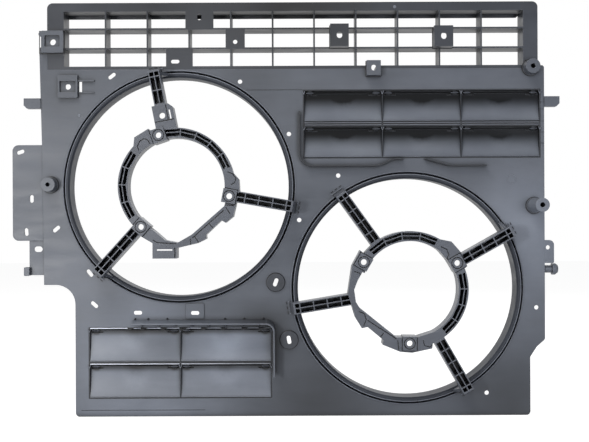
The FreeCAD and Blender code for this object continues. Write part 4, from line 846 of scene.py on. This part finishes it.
# %% Pale floor
def plane_at(name, reach, height, material):
    """A level square sheet that reaches equally far on all sides."""
    corners = [(x * reach, y * reach, height) for x, y in ((-1, -1), (1, -1), (1, 1), (-1, 1))]
    mesh = bpy.data.meshes.new(name)
    mesh.from_pydata(corners, [], [(0, 1, 2, 3)])
    mesh.materials.append(material)
    sheet = bpy.data.objects.new(name, mesh)
    bpy.context.scene.collection.objects.link(sheet)


def pale_studio(name, shade, lift):
    """A pale matte surface that is white where the camera or a gloss sees it directly."""
    material = bpy.data.materials.new(name)
    material.use_nodes = True
    tree = material.node_tree
    tree.nodes.clear()
    rays = add(tree, "ShaderNodeLightPath")
    seen = add(tree, "ShaderNodeMath", {0: rays.outputs["Is Camera Ray"],
                                        1: rays.outputs["Is Glossy Ray"]}, operation="MAXIMUM")
    seen = add(tree, "ShaderNodeMath", {0: seen.outputs[0],
                                        1: rays.outputs["Is Transmission Ray"]},
               operation="MAXIMUM")
    matte = add(tree, "ShaderNodeBsdfDiffuse", {"Color": linear(shade)})
    glow = add(tree, "ShaderNodeEmission", {"Color": linear("#ffffff"), "Strength": lift})
    both = add(tree, "ShaderNodeAddShader", {0: matte.outputs[0], 1: glow.outputs[0]})
    chosen = add(tree, "ShaderNodeMixShader", {0: seen.outputs[0], 1: matte.outputs[0],
                                               2: both.outputs[0]})
    add(tree, "ShaderNodeOutputMaterial", {"Surface": chosen.outputs[0]})
    return material


FLOOR_Z = CAD_BOX[0][2]
FLOOR_REACH = 6.0
FLOOR_LIFT = 0.92
plane_at("floor", FLOOR_REACH, FLOOR_Z,
         pale_studio("White background paper", "#9a9a9a", FLOOR_LIFT))
print("floor height in metres", round(FLOOR_Z, 4))

# %% [markdown]
# ## Air and lamps
# The white backdrop stands behind the object, so the camera sees white there, and a gloss that
# looks that way sees it too. The rest of the room is dim and even. The lamps are big, so that
# their shadows are soft, and bright enough that a grey renders about as it was written. A
# bright world alone would be simpler, but it lights every side alike and looks flat.

# %% World
AIR_STRENGTH, WHITE_STRENGTH = 0.14, 1.0
world = bpy.data.worlds.new("studio air")
world.use_nodes = True
air = world.node_tree
air.nodes.clear()
soft_air = add(air, "ShaderNodeBackground", {"Color": linear("#eef1f5"),
                                             "Strength": AIR_STRENGTH})
white_air = add(air, "ShaderNodeBackground", {"Color": linear("#ffffff"),
                                              "Strength": WHITE_STRENGTH})
rays = add(air, "ShaderNodeLightPath").outputs
heading = add(air, "ShaderNodeSeparateXYZ",
              {0: add(air, "ShaderNodeTexCoord").outputs["Generated"]})
behind = add(air, "ShaderNodeMath", {0: heading.outputs["Y"], 1: 0.0},
             operation="GREATER_THAN")
gloss = add(air, "ShaderNodeMath", {0: rays["Is Glossy Ray"], 1: rays["Is Transmission Ray"]},
            operation="MAXIMUM")
gloss_behind = add(air, "ShaderNodeMath", {0: gloss.outputs[0], 1: behind.outputs[0]},
                   operation="MULTIPLY")
white_seen = add(air, "ShaderNodeMath", {0: rays["Is Camera Ray"], 1: gloss_behind.outputs[0]},
                 operation="MAXIMUM")
chosen_air = add(air, "ShaderNodeMixShader", {0: white_seen.outputs[0],
                                              1: soft_air.outputs[0], 2: white_air.outputs[0]})
add(air, "ShaderNodeOutputWorld", {"Surface": chosen_air.outputs[0]})
bpy.context.scene.world = world
print("air strength", AIR_STRENGTH, "backdrop strength", WHITE_STRENGTH)

# %% Lamps
def lamp(name, place, target, size, watts, colour="#ffffff"):
    """A soft flat lamp that points at a target."""
    light = bpy.data.lights.new(name, "AREA")
    light.shape = "RECTANGLE"
    light.size, light.size_y = size
    light.energy = watts
    light.color = linear(colour)[:3]
    holder = bpy.data.objects.new(name, light)
    holder.location = place
    aim = Vector(target) - Vector(place)
    holder.rotation_euler = aim.to_track_quat("-Z", "Y").to_euler()
    bpy.context.scene.collection.objects.link(holder)
    print(name, watts, "watts")


CENTRE = (0.184, 0.0, -0.055)
lamp("key from above", (-0.6, -1.3, 2.2), CENTRE, (1.6, 1.0), 38.0, "#fffaf2")
lamp("soft box at the left", (-0.72, -1.6, -0.05), (-0.2, 0.0, -0.1), (0.25, 0.45), 11.0)
lamp("soft box at the right", (0.95, -1.6, 0.05), (0.55, 0.0, 0.0), (0.4, 0.6), 4.5, "#eef3ff")
lamp("soft box above the camera", (0.1, -1.6, 0.5), (0.15, 0.0, 0.1), (0.6, 0.4), 3.0)
lamp("soft box behind", (0.7, 1.5, 1.4), (0.15, 0.0, -0.05), (0.9, 0.9), 20.0)

# %% [markdown]
# ## Camera
# The photograph was taken square on, with its middle over the space between the two fans.
# The distance and lens give the small amount of perspective that shows the sides of the tall
# bosses. A flat view without perspective would hide them. The camera is turned a quarter of a
# degree, as the real one was.

# %% Camera
CAMERA_PLACE = (0.1841, -1.600, -0.0552)
CAMERA_FAR = 1600.0   # millimetres from the lens to the panel's face
VIEW_WIDE = 942.4     # millimetres of that face across the picture: 589 pixels of 1.6 mm
SENSOR = 36.0
LENS = SENSOR * CAMERA_FAR / VIEW_WIDE
ROLL = 0.0042         # radians

view = bpy.data.cameras.new("catalogue camera")
view.sensor_width = SENSOR
view.lens = LENS
camera = bpy.data.objects.new("catalogue camera", view)
camera.location = CAMERA_PLACE
camera.rotation_euler = (math.radians(90.0), ROLL, 0.0)
bpy.context.scene.collection.objects.link(camera)
bpy.context.scene.camera = camera
bpy.context.scene.view_settings.view_transform = "Standard"
print("lens in mm", round(LENS, 2))
